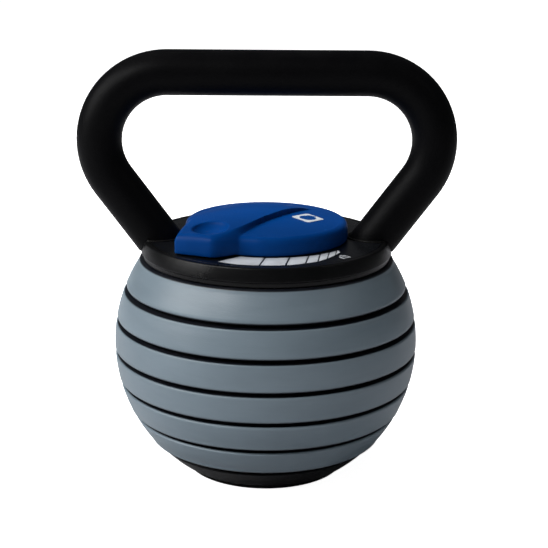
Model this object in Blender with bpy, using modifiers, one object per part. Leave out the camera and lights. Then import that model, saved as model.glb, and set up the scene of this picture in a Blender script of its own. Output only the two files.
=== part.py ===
"""Adjustable kettlebell: a ball of stacked plates on a base, a tube handle and a rotary selector dial.

Metres, +Z up. The origin is on the floor under the middle of the ball, and X runs along the handle.
Turning the dial turns six cam lobes inside the plates. In the modelled position every lobe stands in
its plate's notch, so all the plates stay behind when the handle is lifted.
"""

import math

import bmesh
import bpy
from mathutils import Matrix, Vector

# ---------------------------------------------------------------- driving dimensions, in metres
BALL_RADIUS = 0.100
BALL_CROWN = 0.057  # from the ball's middle up to the top plate's top
FACETS = 36  # sides of a large round piece
SMALL_FACETS = 24  # sides of a middling one

PLATE_COUNT = 6
PLATE_PITCH = 0.02047
GROOVE = 0.0025  # open height between two plates
LOWEST_GROOVE = 0.0196  # height of the middle of the groove above the base
TOP_PLATE_HEIGHT = 0.0198
PLATE_EDGE = 0.0010  # chamfer on each plate's rim
TOP_PLATE_EDGE = 0.0020

GAP = 0.0003  # between pieces that touch
LOBE_PLAY = 0.0010  # round the lobes
SLIDE_PLAY = 0.0006  # round the core, where the plates slide on it

PAD_WIDTH = 0.016
PAD_SETBACK = 0.006  # from the ball's surface in to the pad
PEG_RADIUS = 0.005
PEG_HEIGHT = 0.0055
PEG_CIRCLE = 0.040
PEG_PLAY = 0.0005

COUNTERBORE_DEPTH = 0.007
LOBE_LIFT = 0.0017  # from a plate's underside up to its cam's lobe
LOBE_THICKNESS = 0.0048
LOBE_REACH = 0.007  # out of the core
LOBE_WIDTH = 22.0  # degrees
LOBE_SWING_PLAY = 2.0  # degrees
DIAL_STEP = 16.0  # degrees of dial for each plate
DIAL_ARMS = (0.0, 180.0)  # degrees, the two lobes of a cam
HUB_RADIUS = 0.011
SHAFT_SIDE = 0.010

CAGE_INNER = 0.015
CAGE_OUTER = 0.019
PILLAR_HALF_ANGLE = 22.0  # degrees
KEY_HALF_ANGLE = 8.0  # degrees
KEY_HEIGHT = 0.003
CAGE_FLANGE_MARGIN = 0.003  # from the cage's flange out to the detent
CAGE_FLANGE_THICKNESS = 0.0045
PILLAR_END = 0.016  # height of the pillars' lower ends
END_CAP_THICKNESS = 0.004
END_PIN_RADIUS = 0.004
BUSH_WALL = 0.0008

POCKET_DEPTH = 0.0085  # in the top plate, for the cage and the bolt heads
RIM_WIDTH = 0.0045  # flat rim of the top plate that carries the handle
CARRIER_THICKNESS = 0.004
CARRIER_SEAT = 0.0025  # how far the carrier reaches over the rim

HOUSING_WALL = 0.0026
HOUSING_HEIGHT = 0.013  # above the top plate
HOUSING_SKIRT_GAP = 0.0009
HOUSING_OVERHANG = 0.0002  # of the skirt past the top plate's edge
HOUSING_TAPER = 0.0026
HOUSING_HOLE_MARGIN = 0.008  # from the hole out to the dial's edge
HOUSING_BOSS_RADIUS = 0.0045
HOUSING_BOSS_INSET = 0.0224  # from the housing's edge
LABEL_THICKNESS = 0.0005
LABEL_INNER_MARGIN = 0.001  # from the housing's hole
LABEL_MARGIN = 0.0038  # from the label's edge to the housing's

TUBE_RADIUS = 0.0146
TUBE_WALL = 0.003
TUBE_SIDES_RESOLUTION = 6
LEG_LEAN = 36.5  # degrees from upright
LEG_INSET = 0.0164  # of the leg's middle from the housing's edge, on top of the carrier
HANDLE_RISE = 0.122  # from the housing's top to the bar's top
HANDLE_BEND = 0.044  # radius of the bends' centre line
BEND_STEPS = 9
PLUG_LENGTH = 0.020
BOLT_OUTSET = 0.0028  # of the bolt from the leg's middle, towards the outside
BOLT_RADIUS = 0.004
BOLT_REACH = 0.013

THRUST_MARGIN = 0.008  # from the thrust washer out to the detent
THRUST_THICKNESS = 0.0025
SHOULDER_RADIUS = 0.013
FLANGE_PLAY = 0.002  # round the spindle's flange in the housing
FLANGE_THICKNESS = 0.003
DIMPLE_INSET = 0.005  # from the flange's edge
BALL_BEARING_RADIUS = 0.003
BALL_TRAVEL = 0.0008
CUP_RADIUS = 0.005
CUP_DEPTH = 0.0128
SPRING_WIRE = 0.0004
SPRING_TURNS = 4

DIAL_LEG_GAP = 0.0012  # between the dial and the legs
DIAL_WALL_HEIGHT = 0.0073
DIAL_SHOULDER_WIDTH = 0.0048  # of the rounded edge
DIAL_SHOULDER_HEIGHT = 0.0045
DIAL_HEIGHT = 0.0153
DIAL_SHELL = 0.003
DIAL_BOSS_WIDTH = 0.012
DIAL_BOSS_INSET = 0.007  # from the flange's edge
ARM_HEIGHT = 0.0191  # above the dial's underside
ARM_TIP_DROP = 0.0063  # of the arm's domed top, from its highest point out to its tip
ARM_CLEARANCE = 0.0010  # over the housing
RECESS_SIZE = (0.0113, 0.0115, 0.0060)  # half sizes of the finger recess
RECESS_INSET = (0.0171, 0.0130)  # of its middle, from the dial's left and front edges

BASE_WALL = 0.0035
BASE_SHRINK = 0.0008  # of the base inside the ball
BASE_WELL_PLAY = 0.005  # round the core's end
BASE_WELL_FLOOR = 0.0088
FOOT_HEIGHT = 0.0030
FOOT_INSET = 0.0029  # of the foot's outer edge from the base's lower edge
FOOT_WIDTH = 0.014
BASE_COVER_THICKNESS = 0.002
BASE_SCREW_INSET = 0.019  # from the foot's outer edge

SMALL_SCREW = 0.0015  # shank radius
SCREW_HEAD = 0.0028
SCREW_HEAD_HEIGHT = 0.0018
SCREW_SIDES = 8

# ---------------------------------------------------------------- sizes that follow from them


def plate_bottom(number):
    """Height of a plate's underside; plate 1 is the top one."""
    return LOWEST_GROOVE + GROOVE / 2 + (PLATE_COUNT - number) * PLATE_PITCH


TOP_PLATE_TOP = plate_bottom(1) + TOP_PLATE_HEIGHT
BALL_CENTRE = TOP_PLATE_TOP - BALL_CROWN  # height of the ball's middle above the floor


def ball_radius_at(height):
    """Radius of the ball's round surface at a height above the floor."""
    return math.sqrt(BALL_RADIUS**2 - (height - BALL_CENTRE) ** 2)


def plate_top(number):
    return TOP_PLATE_TOP if number == 1 else plate_bottom(number) + PLATE_PITCH - GROOVE


DIAL_RANGE = PLATE_COUNT * DIAL_STEP
BORE_RADIUS = CAGE_OUTER + SLIDE_PLAY
LOBE_RADIUS = CAGE_OUTER + LOBE_REACH
NOTCH_RADIUS = LOBE_RADIUS + LOBE_PLAY
COUNTERBORE_RADIUS = NOTCH_RADIUS + LOBE_PLAY
BASE_DECK = LOWEST_GROOVE - GROOVE / 2
BASE_LIP = FOOT_HEIGHT + 2 * GAP
FOOT_RADIUS = ball_radius_at(BASE_LIP) - BASE_SHRINK - FOOT_INSET
BASE_WELL_RADIUS = CAGE_OUTER + BASE_WELL_PLAY
PILLAR_ANGLE = (DIAL_RANGE + 180.0) / 2  # from the first lobe to the pillar's middle
FIRST_LOBE = -PILLAR_ANGLE  # puts the pillars on the X axis
RIM_OUTER = ball_radius_at(TOP_PLATE_TOP) - TOP_PLATE_EDGE
POCKET_RADIUS = RIM_OUTER - RIM_WIDTH
POCKET_FLOOR = TOP_PLATE_TOP - POCKET_DEPTH
CARRIER_BOTTOM = TOP_PLATE_TOP + GAP
CARRIER_TOP = CARRIER_BOTTOM + CARRIER_THICKNESS
CARRIER_RADIUS = POCKET_RADIUS + CARRIER_SEAT
HOUSING_TOP = TOP_PLATE_TOP + HOUSING_HEIGHT
HOUSING_BOTTOM = TOP_PLATE_TOP + HOUSING_SKIRT_GAP
HOUSING_RADIUS = ball_radius_at(TOP_PLATE_TOP) + HOUSING_OVERHANG
HOUSING_TOP_RADIUS = HOUSING_RADIUS - HOUSING_TAPER
LABEL_OUTER = HOUSING_TOP_RADIUS - LABEL_MARGIN
LABEL_FLOOR = HOUSING_TOP - LABEL_THICKNESS - 1.3 * GAP
HOUSING_CEILING = LABEL_FLOOR - HOUSING_WALL
LEG_BOTTOM = CARRIER_TOP + GAP
LEG_ROOT = HOUSING_RADIUS - LEG_INSET
LEG_TILT = math.radians(LEG_LEAN)
HANDLE_TOP = HOUSING_TOP + HANDLE_RISE
CAGE_TOP = CARRIER_BOTTOM - GAP
CAGE_FLANGE_BOTTOM = CAGE_TOP - CAGE_FLANGE_THICKNESS
THRUST_BOTTOM = CARRIER_TOP + GAP
FLANGE_BOTTOM = THRUST_BOTTOM + THRUST_THICKNESS + GAP
FLANGE_TOP = FLANGE_BOTTOM + FLANGE_THICKNESS
DIAL_BOTTOM = HOUSING_TOP + GAP
LEG_AT_DIAL = LEG_ROOT + (DIAL_BOTTOM - LEG_BOTTOM) * math.tan(LEG_TILT)
LEG_INNER_SIDE = LEG_AT_DIAL - TUBE_RADIUS / math.cos(LEG_TILT)
DIAL_RADIUS = LEG_INNER_SIDE - DIAL_LEG_GAP
DIAL_WALL_TOP = DIAL_BOTTOM + DIAL_WALL_HEIGHT
DIAL_TOP = DIAL_BOTTOM + DIAL_HEIGHT
ARM_TOP = DIAL_BOTTOM + ARM_HEIGHT
CROWN_PLACE = (-0.264 * DIAL_RADIUS, -0.283 * DIAL_RADIUS)  # of the arm's highest point
ARM_BOTTOM = HOUSING_TOP + ARM_CLEARANCE
HOUSING_HOLE = DIAL_RADIUS - HOUSING_HOLE_MARGIN
LABEL_INNER = HOUSING_HOLE + LABEL_INNER_MARGIN
FLANGE_RADIUS = HOUSING_HOLE - FLANGE_PLAY
DIMPLE_CIRCLE = FLANGE_RADIUS - DIMPLE_INSET
DETENT_INNER_SIDE = DIMPLE_CIRCLE - CUP_RADIUS
THRUST_RADIUS = DETENT_INNER_SIDE - THRUST_MARGIN
CAGE_FLANGE_RADIUS = DETENT_INNER_SIDE - CAGE_FLANGE_MARGIN
DIAL_BOSS_OUTER = FLANGE_RADIUS - DIAL_BOSS_INSET
DIAL_BOSS_INNER = DIAL_BOSS_OUTER - DIAL_BOSS_WIDTH
DIAL_SCREW_CIRCLE = (DIAL_BOSS_OUTER + DIAL_BOSS_INNER) / 2
DIAL_BOSS_BOTTOM = FLANGE_TOP + GAP
LOWEST_LOBE = plate_bottom(PLATE_COUNT) + LOBE_LIFT
HIGHEST_HUB_TOP = plate_bottom(1) + LOBE_LIFT + PLATE_PITCH - GAP
END_CAP_TOP = PILLAR_END - GAP
BALL_HEIGHT = FLANGE_BOTTOM - GAP - BALL_BEARING_RADIUS
CUP_TOP = BALL_HEIGHT + BALL_BEARING_RADIUS - GAP
CUP_BOTTOM = CUP_TOP - CUP_DEPTH
BASE_COVER_TOP = FOOT_HEIGHT + BASE_COVER_THICKNESS
SCREW_HOLE = SMALL_SCREW + GAP

COLOURS = {  # red, green, blue, roughness, metallic
    "plate_enamel": (0.22, 0.26, 0.30, 0.35, 0.2),
    "handle_coat": (0.020, 0.020, 0.025, 0.50, 0.1),
    "housing_coat": (0.030, 0.030, 0.033, 0.45, 0.0),
    "dial_plastic": (0.010, 0.110, 0.420, 0.35, 0.0),
    "black_rubber": (0.012, 0.012, 0.012, 0.80, 0.0),
    "black_plastic": (0.022, 0.022, 0.025, 0.55, 0.0),
    "label_film": (0.040, 0.040, 0.040, 0.40, 0.0),
    "zinc_steel": (0.450, 0.450, 0.460, 0.40, 1.0),
    "ground_steel": (0.550, 0.550, 0.560, 0.25, 1.0),
    "bearing_bronze": (0.450, 0.300, 0.120, 0.40, 1.0),
}

# ---------------------------------------------------------------- helpers

for old in list(bpy.data.objects):
    bpy.data.objects.remove(old, do_unlink=True)


def new_collection(name):
    collection = bpy.data.collections.new(name)
    bpy.context.scene.collection.children.link(collection)
    return collection


PARTS = new_collection("adjustable_kettlebell")
CUTTERS = new_collection("cutters")


def material(slot):
    """The Principled material of a slot, made the first time it is asked for."""
    if slot in bpy.data.materials:
        return bpy.data.materials[slot]
    made = bpy.data.materials.new(slot)
    made.use_nodes = True
    shader = made.node_tree.nodes["Principled BSDF"]
    red, green, blue, roughness, metallic = COLOURS[slot]
    shader.inputs["Base Color"].default_value = (red, green, blue, 1.0)
    shader.inputs["Roughness"].default_value = roughness
    shader.inputs["Metallic"].default_value = metallic
    return made


def object_from(name, mesh, collection):
    made = bpy.data.objects.new(name, mesh)
    collection.objects.link(made)
    return made


def finish_part(part, slot, sharp_degrees=35.0):
    """Gives a part its material and its shading."""
    part.data.materials.clear()
    part.data.materials.append(material(slot))
    if len(part.data.polygons):
        part.data.shade_smooth()
        part.data.set_sharp_from_angle(angle=math.radians(sharp_degrees))
    return part


def as_cutter(thing):
    """Marks an object as a tool for cutting or joining, not a part."""
    thing.hide_render = True
    thing.display_type = "WIRE"
    return thing


def baked_mesh(thing, weld=0.00001):
    """The object's mesh with its modifiers applied and its seams welded."""
    bpy.context.view_layer.update()
    depsgraph = bpy.context.evaluated_depsgraph_get()
    mesh = bpy.data.meshes.new_from_object(thing.evaluated_get(depsgraph))
    shape = bmesh.new()
    shape.from_mesh(mesh)
    bmesh.ops.remove_doubles(shape, verts=shape.verts, dist=weld)
    shape.to_mesh(mesh)
    shape.free()
    return mesh


def turned(name, profile, collection=None, sides=FACETS):
    """A turned solid. The profile (radius, height) runs from the top down the outer side."""
    closed = all(radius > 0 for radius, _ in profile)
    count = len(profile)
    edges = [(i, (i + 1) % count) for i in range(count if closed else count - 1)]
    mesh = bpy.data.meshes.new(name)
    mesh.from_pydata([(radius, 0, height) for radius, height in profile], edges, [])
    made = object_from(name, mesh, collection or PARTS)
    screw = made.modifiers.new("turn", "SCREW")
    screw.axis = "Z"
    screw.steps = sides
    screw.render_steps = sides
    screw.use_merge_vertices = True
    screw.merge_threshold = 0.00001
    screw.use_smooth_shade = True
    return made


def cylinder(name, radius, bottom, top, place=(0.0, 0.0), sides=16, collection=None, axis=None):
    """A cylinder between two heights, or along an axis if one is given."""
    shape = bmesh.new()
    length = top - bottom
    bmesh.ops.create_cone(
        shape, cap_ends=True, segments=sides, radius1=radius, radius2=radius, depth=length
    )
    mesh = bpy.data.meshes.new(name)
    if axis is not None:
        bmesh.ops.rotate(shape, verts=shape.verts, matrix=axis)
    bmesh.ops.translate(shape, verts=shape.verts, vec=(place[0], place[1], bottom + length / 2))
    shape.to_mesh(mesh)
    shape.free()
    return object_from(name, mesh, collection or PARTS)


def block(name, low, high):
    """A box-shaped cutter between two corners."""
    shape = bmesh.new()
    bmesh.ops.create_cube(shape, size=1.0)
    low, high = Vector(low), Vector(high)
    bmesh.ops.scale(shape, verts=shape.verts, vec=high - low)
    bmesh.ops.translate(shape, verts=shape.verts, vec=(low + high) / 2)
    mesh = bpy.data.meshes.new(name)
    shape.to_mesh(mesh)
    shape.free()
    return as_cutter(object_from(name, mesh, CUTTERS))


def joined_cutter(name, pieces):
    """Several cutters as the separate bodies of one."""
    shape = bmesh.new()
    for piece in pieces:
        shape.from_mesh(piece.data)
        bpy.data.objects.remove(piece, do_unlink=True)
    mesh = bpy.data.meshes.new(name)
    shape.to_mesh(mesh)
    shape.free()
    return as_cutter(object_from(name, mesh, CUTTERS))


def prism(name, outline, bottom, top, collection=None):
    """A flat outline of (x, y) points given a height."""
    curve = bpy.data.curves.new(name, "CURVE")
    curve.dimensions = "2D"
    curve.fill_mode = "BOTH"
    curve.extrude = (top - bottom) / 2
    spline = curve.splines.new("POLY")
    spline.points.add(len(outline) - 1)
    for point, (x, y) in zip(spline.points, outline):
        point.co = (x, y, 0.0, 1.0)
    spline.use_cyclic_u = True
    flat = object_from(name + "_outline", curve, collection or PARTS)
    flat.location.z = (bottom + top) / 2
    mesh = baked_mesh(flat)
    mesh.transform(flat.matrix_world)
    bpy.data.objects.remove(flat, do_unlink=True)
    mesh.name = name
    return object_from(name, mesh, collection or PARTS)


def combine(part, tool, operation):
    """Adds a Boolean of the part with a tool."""
    boolean = part.modifiers.new(operation.lower(), "BOOLEAN")
    boolean.operation = operation
    boolean.solver = "EXACT"
    boolean.object = as_cutter(tool)
    return part


def polar(radius, degrees):
    angle = math.radians(degrees)
    return radius * math.cos(angle), radius * math.sin(angle)


def banded_outline(radius, bands, step=15.0):
    """A round outline whose radius changes between the angles of each (start, end, radius) band."""
    points = []
    for index, (start, end, band_radius) in enumerate(bands):
        following = bands[(index + 1) % len(bands)][0] + (360.0 if index == len(bands) - 1 else 0.0)
        for low, high, reach in ((start, end, band_radius), (end, following, radius)):
            count = max(1, round((high - low) / step))
            points += [polar(reach, low + (high - low) * i / count) for i in range(count + 1)]
    return points


def screw_profile(head_radius, head_height, shank_radius, reach):
    """Profile of a screw whose head's underside is at height 0 and whose shank points up."""
    return [
        (0.0, reach),
        (shank_radius, reach),
        (shank_radius, 0.0),
        (head_radius, 0.0),
        (head_radius, -head_height),
        (0.0, -head_height),
    ]


def place_screws(name, places, height, reach, slot="zinc_steel", head=SCREW_HEAD, shank=SMALL_SCREW,
                 head_height=SCREW_HEAD_HEIGHT, names=None):
    """Screws that point up, one object each, at (x, y) places."""
    pattern = turned(name, screw_profile(head, head_height, shank, reach), CUTTERS, SCREW_SIDES)
    mesh = baked_mesh(pattern)
    bpy.data.objects.remove(pattern, do_unlink=True)
    for index, (x, y) in enumerate(places):
        label = names[index] if names else f"{name}_{index + 1}"
        screw = object_from(label, mesh, PARTS)
        screw.location = (x, y, height)
        finish_part(screw, slot)


def hole_cutters(name, places, radius, bottom, top, sides=SCREW_SIDES):
    """Round holes as one cutter."""
    return joined_cutter(
        name,
        [cylinder(f"{name}_{i}", radius, bottom, top, p, sides, CUTTERS) for i, p in enumerate(places)],
    )


def ring_of(count, radius, first=0.0):
    return [polar(radius, first + 360.0 * i / count) for i in range(count)]


# ---------------------------------------------------------------- base

BASE_SCREWS = ring_of(4, FOOT_RADIUS - BASE_SCREW_INSET, 45.0)
PEGS = [(0.0, PEG_CIRCLE), (0.0, -PEG_CIRCLE)]


def base_side(height):
    return ball_radius_at(height) - BASE_SHRINK


def make_base():
    deck_edge = BASE_DECK - PLATE_EDGE
    heights = [deck_edge - (deck_edge - BASE_LIP) * i / 3 for i in range(4)]
    roof = BASE_DECK - BASE_WALL
    well_roof = BASE_WELL_FLOOR - BASE_WALL + 2 * GAP
    inner_foot = base_side(BASE_LIP) - BASE_WALL
    inner_roof = base_side(roof) - 1.6 * BASE_WALL
    profile = [
        (0.0, BASE_WELL_FLOOR),
        (BASE_WELL_RADIUS, BASE_WELL_FLOOR),
        (BASE_WELL_RADIUS, BASE_DECK),
        (base_side(BASE_DECK) - PLATE_EDGE, BASE_DECK),
        *[(base_side(h), h) for h in heights],
        (inner_foot, BASE_LIP),
        (inner_foot, BASE_COVER_TOP + GAP),
        (inner_roof, roof),
        (BASE_WELL_RADIUS + BASE_WALL, roof),
        (BASE_WELL_RADIUS + BASE_WALL, well_roof),
        (0.0, well_roof),
    ]
    shell = turned("base_shell", profile)
    for index, place in enumerate(PEGS):
        peg = cylinder(f"base_peg_{index}", PEG_RADIUS, roof + GAP, BASE_DECK + PEG_HEIGHT, place,
                       SCREW_SIDES, CUTTERS)
        combine(shell, peg, "UNION")
    for index, place in enumerate(BASE_SCREWS):
        boss = cylinder(f"base_boss_{index}", HOUSING_BOSS_RADIUS, BASE_COVER_TOP + GAP, roof + GAP, place,
                        SCREW_SIDES, CUTTERS)
        combine(shell, boss, "UNION")
    holes = hole_cutters("base_boss_holes", BASE_SCREWS, SCREW_HOLE, FOOT_HEIGHT, roof - GAP)
    combine(shell, holes, "DIFFERENCE")
    finish_part(shell, "black_plastic")

    cover_radius = inner_foot - 2 * GAP
    cover = turned("base_cover", [
        (0.0, BASE_COVER_TOP),
        (cover_radius, BASE_COVER_TOP),
        (cover_radius, FOOT_HEIGHT + GAP),
        (0.0, FOOT_HEIGHT + GAP),
    ], sides=SMALL_FACETS)
    combine(cover, hole_cutters("base_cover_holes", BASE_SCREWS, SCREW_HOLE, 0.0, BASE_DECK), "DIFFERENCE")
    finish_part(cover, "zinc_steel")

    foot = turned("base_foot", [
        (FOOT_RADIUS - FOOT_WIDTH, FOOT_HEIGHT),
        (FOOT_RADIUS, FOOT_HEIGHT),
        (FOOT_RADIUS, PLATE_EDGE),
        (FOOT_RADIUS - PLATE_EDGE, 0.0),
        (FOOT_RADIUS - FOOT_WIDTH, 0.0),
    ], sides=SMALL_FACETS)
    finish_part(foot, "black_rubber")
    reach = BASE_DECK - BASE_WALL - 4 * GAP - FOOT_HEIGHT
    place_screws("base_screw", BASE_SCREWS, FOOT_HEIGHT, reach)


# ---------------------------------------------------------------- plates, pads and cams


def notch_bands(number):
    """Angular bands of a plate's bore: a notch and a keyway on each side."""
    half = LOBE_WIDTH / 2 + LOBE_SWING_PLAY
    key_half = KEY_HALF_ANGLE + LOBE_SWING_PLAY
    key_radius = CAGE_OUTER + KEY_HEIGHT + SLIDE_PLAY
    bands = []
    for turn in DIAL_ARMS:
        first = FIRST_LOBE + turn
        bands.append((first - half, first + (number - 1) * DIAL_STEP + half, NOTCH_RADIUS))
        middle = first + PILLAR_ANGLE
        bands.append((middle - key_half, middle + key_half, key_radius))
    return bands


def rim_points(bottom, top, edge_top):
    """The ball's surface between two heights, top to bottom, with a chamfer at each end."""
    high, low = top - edge_top, bottom + PLATE_EDGE
    heights = [high, (high + low) / 2, low]
    return [
        (ball_radius_at(top) - edge_top, top),
        *[(ball_radius_at(h), h) for h in heights],
        (ball_radius_at(bottom) - PLATE_EDGE, bottom),
    ]


def make_plate(number):
    bottom, top = plate_bottom(number), plate_top(number)
    blank = BORE_RADIUS - LOBE_PLAY
    shelf = bottom + COUNTERBORE_DEPTH
    edge_top = TOP_PLATE_EDGE if number == 1 else PLATE_EDGE
    inner = [(COUNTERBORE_RADIUS, bottom), (COUNTERBORE_RADIUS, shelf), (blank, shelf)]
    if number == 1:
        upper = [(blank, POCKET_FLOOR), (POCKET_RADIUS, POCKET_FLOOR), (POCKET_RADIUS, top)]
    else:
        upper = [(blank, top)]
    plate = turned(f"plate_{number}", upper + rim_points(bottom, top, edge_top) + inner)
    bore = prism(f"plate_bore_{number}", banded_outline(BORE_RADIUS, notch_bands(number)),
                 bottom - PLATE_EDGE, top + PLATE_EDGE, CUTTERS)
    combine(plate, bore, "DIFFERENCE")
    sockets = hole_cutters(f"plate_sockets_{number}", PEGS, PEG_RADIUS + PEG_PLAY, bottom - PLATE_EDGE,
                           bottom - GROOVE + PEG_HEIGHT + PEG_PLAY)
    combine(plate, sockets, "DIFFERENCE")
    if number > 1:
        for index, place in enumerate(PEGS):
            peg = cylinder(f"plate_peg_{number}_{index}", PEG_RADIUS, top - PEG_HEIGHT / 2,
                           top + PEG_HEIGHT, place, SCREW_SIDES, CUTTERS)
            combine(plate, peg, "UNION")
    finish_part(plate, "plate_enamel")


def make_pad(number):
    """The rubber ring in the groove under a plate."""
    top = plate_bottom(number) - GAP
    bottom = plate_bottom(number) - GROOVE + GAP
    outer = ball_radius_at(bottom) - PAD_SETBACK
    pad = turned(f"pad_{number}", [
        (outer - PAD_WIDTH, top),
        (outer, top),
        (outer, bottom),
        (outer - PAD_WIDTH, bottom),
    ], sides=SMALL_FACETS)
    finish_part(pad, "black_rubber")


def make_cams():
    """Six alike cams on the square shaft, each with its lobes just above its plate's underside."""
    hub = cylinder("cam_pattern", HUB_RADIUS, 0.0, PLATE_PITCH - GAP, sides=12, collection=CUTTERS)
    bands = [
        (FIRST_LOBE + turn - LOBE_WIDTH / 2, FIRST_LOBE + turn + LOBE_WIDTH / 2, LOBE_RADIUS)
        for turn in DIAL_ARMS
    ]
    inside = HUB_RADIUS - LOBE_PLAY
    lobes = prism("cam_lobes", banded_outline(inside, bands, step=12.0), -GAP, LOBE_THICKNESS, CUTTERS)
    combine(hub, lobes, "UNION")
    half = SHAFT_SIDE / 2 + GAP
    square = block("cam_square", (-half, -half, -PLATE_PITCH), (half, half, 2 * PLATE_PITCH))
    combine(hub, square, "DIFFERENCE")
    mesh = baked_mesh(hub)
    bpy.data.objects.remove(hub, do_unlink=True)
    for number in range(1, PLATE_COUNT + 1):
        cam = object_from(f"selector_cam_{number}", mesh, PARTS)
        cam.location.z = plate_bottom(number) + LOBE_LIFT + GAP
        finish_part(cam, "ground_steel")


# ---------------------------------------------------------------- core under the handle

CAGE_SCREWS = ring_of(3, (CAGE_OUTER + CAGE_FLANGE_RADIUS) / 2, 90.0)
END_CAP_SCREWS = ring_of(2, (CAGE_INNER + CAGE_OUTER) / 2)


def make_core_cage():
    """Two keyed pillars under a flange: the plates slide on them, and the lobes swing between them."""
    flange = turned("core_cage", [
        (CAGE_INNER - GAP, CAGE_TOP),
        (CAGE_FLANGE_RADIUS, CAGE_TOP),
        (CAGE_FLANGE_RADIUS, CAGE_FLANGE_BOTTOM),
        (CAGE_INNER - GAP, CAGE_FLANGE_BOTTOM),
    ], sides=24)
    pillar_top = CAGE_TOP - CAGE_FLANGE_THICKNESS / 2
    for index, turn in enumerate(DIAL_ARMS):
        outer = [(CAGE_OUTER, -PILLAR_HALF_ANGLE, -KEY_HALF_ANGLE),
                 (CAGE_OUTER + KEY_HEIGHT, -KEY_HALF_ANGLE, KEY_HALF_ANGLE),
                 (CAGE_OUTER, KEY_HALF_ANGLE, PILLAR_HALF_ANGLE)]
        outline = []
        for radius, start, end in outer:
            outline += [polar(radius, turn + start), polar(radius, turn + end)]
        outline += [polar(CAGE_INNER, turn + PILLAR_HALF_ANGLE), polar(CAGE_INNER, turn)]
        outline += [polar(CAGE_INNER, turn - PILLAR_HALF_ANGLE)]
        pillar = prism(f"pillar_{index}", outline, PILLAR_END, pillar_top, CUTTERS)
        combine(flange, pillar, "UNION")
    holes = hole_cutters("cage_holes", CAGE_SCREWS, SCREW_HOLE, CAGE_FLANGE_BOTTOM - GROOVE,
                         CAGE_TOP + GROOVE)
    combine(flange, holes, "DIFFERENCE")
    threads = hole_cutters("pillar_holes", END_CAP_SCREWS, SCREW_HOLE, PILLAR_END - GROOVE,
                           PILLAR_END + 4 * SCREW_HEAD)
    combine(flange, threads, "DIFFERENCE")
    finish_part(flange, "zinc_steel")
    place_screws("cage_screw", CAGE_SCREWS, CAGE_FLANGE_BOTTOM - GAP,
                 CARRIER_TOP - CAGE_FLANGE_BOTTOM - 3 * GAP)


def make_end_cap():
    bottom = END_CAP_TOP - END_CAP_THICKNESS
    hole = END_PIN_RADIUS + BUSH_WALL + 3 * GAP
    cap = turned("core_end_cap", [
        (hole, END_CAP_TOP),
        (CAGE_OUTER, END_CAP_TOP),
        (CAGE_OUTER, bottom + PLATE_EDGE),
        (CAGE_OUTER - PLATE_EDGE, bottom),
        (hole, bottom),
    ], sides=24)
    holes = hole_cutters("end_cap_holes", END_CAP_SCREWS, SCREW_HOLE, 0.0, PILLAR_END + GROOVE)
    combine(cap, holes, "DIFFERENCE")
    finish_part(cap, "zinc_steel")
    bush = turned("spindle_bush", [
        (END_PIN_RADIUS + GAP, END_CAP_TOP),
        (hole - GAP, END_CAP_TOP),
        (hole - GAP, bottom),
        (END_PIN_RADIUS + GAP, bottom),
    ], sides=20)
    finish_part(bush, "bearing_bronze")
    place_screws("end_cap_screw", END_CAP_SCREWS, bottom - GAP, END_CAP_THICKNESS + 3 * SCREW_HEAD)


# ---------------------------------------------------------------- spindle

DIAL_SCREWS = ring_of(3, DIAL_SCREW_CIRCLE, 90.0)
DETENT_ANGLE = 90.0  # degrees, of the ball behind the dial


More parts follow.
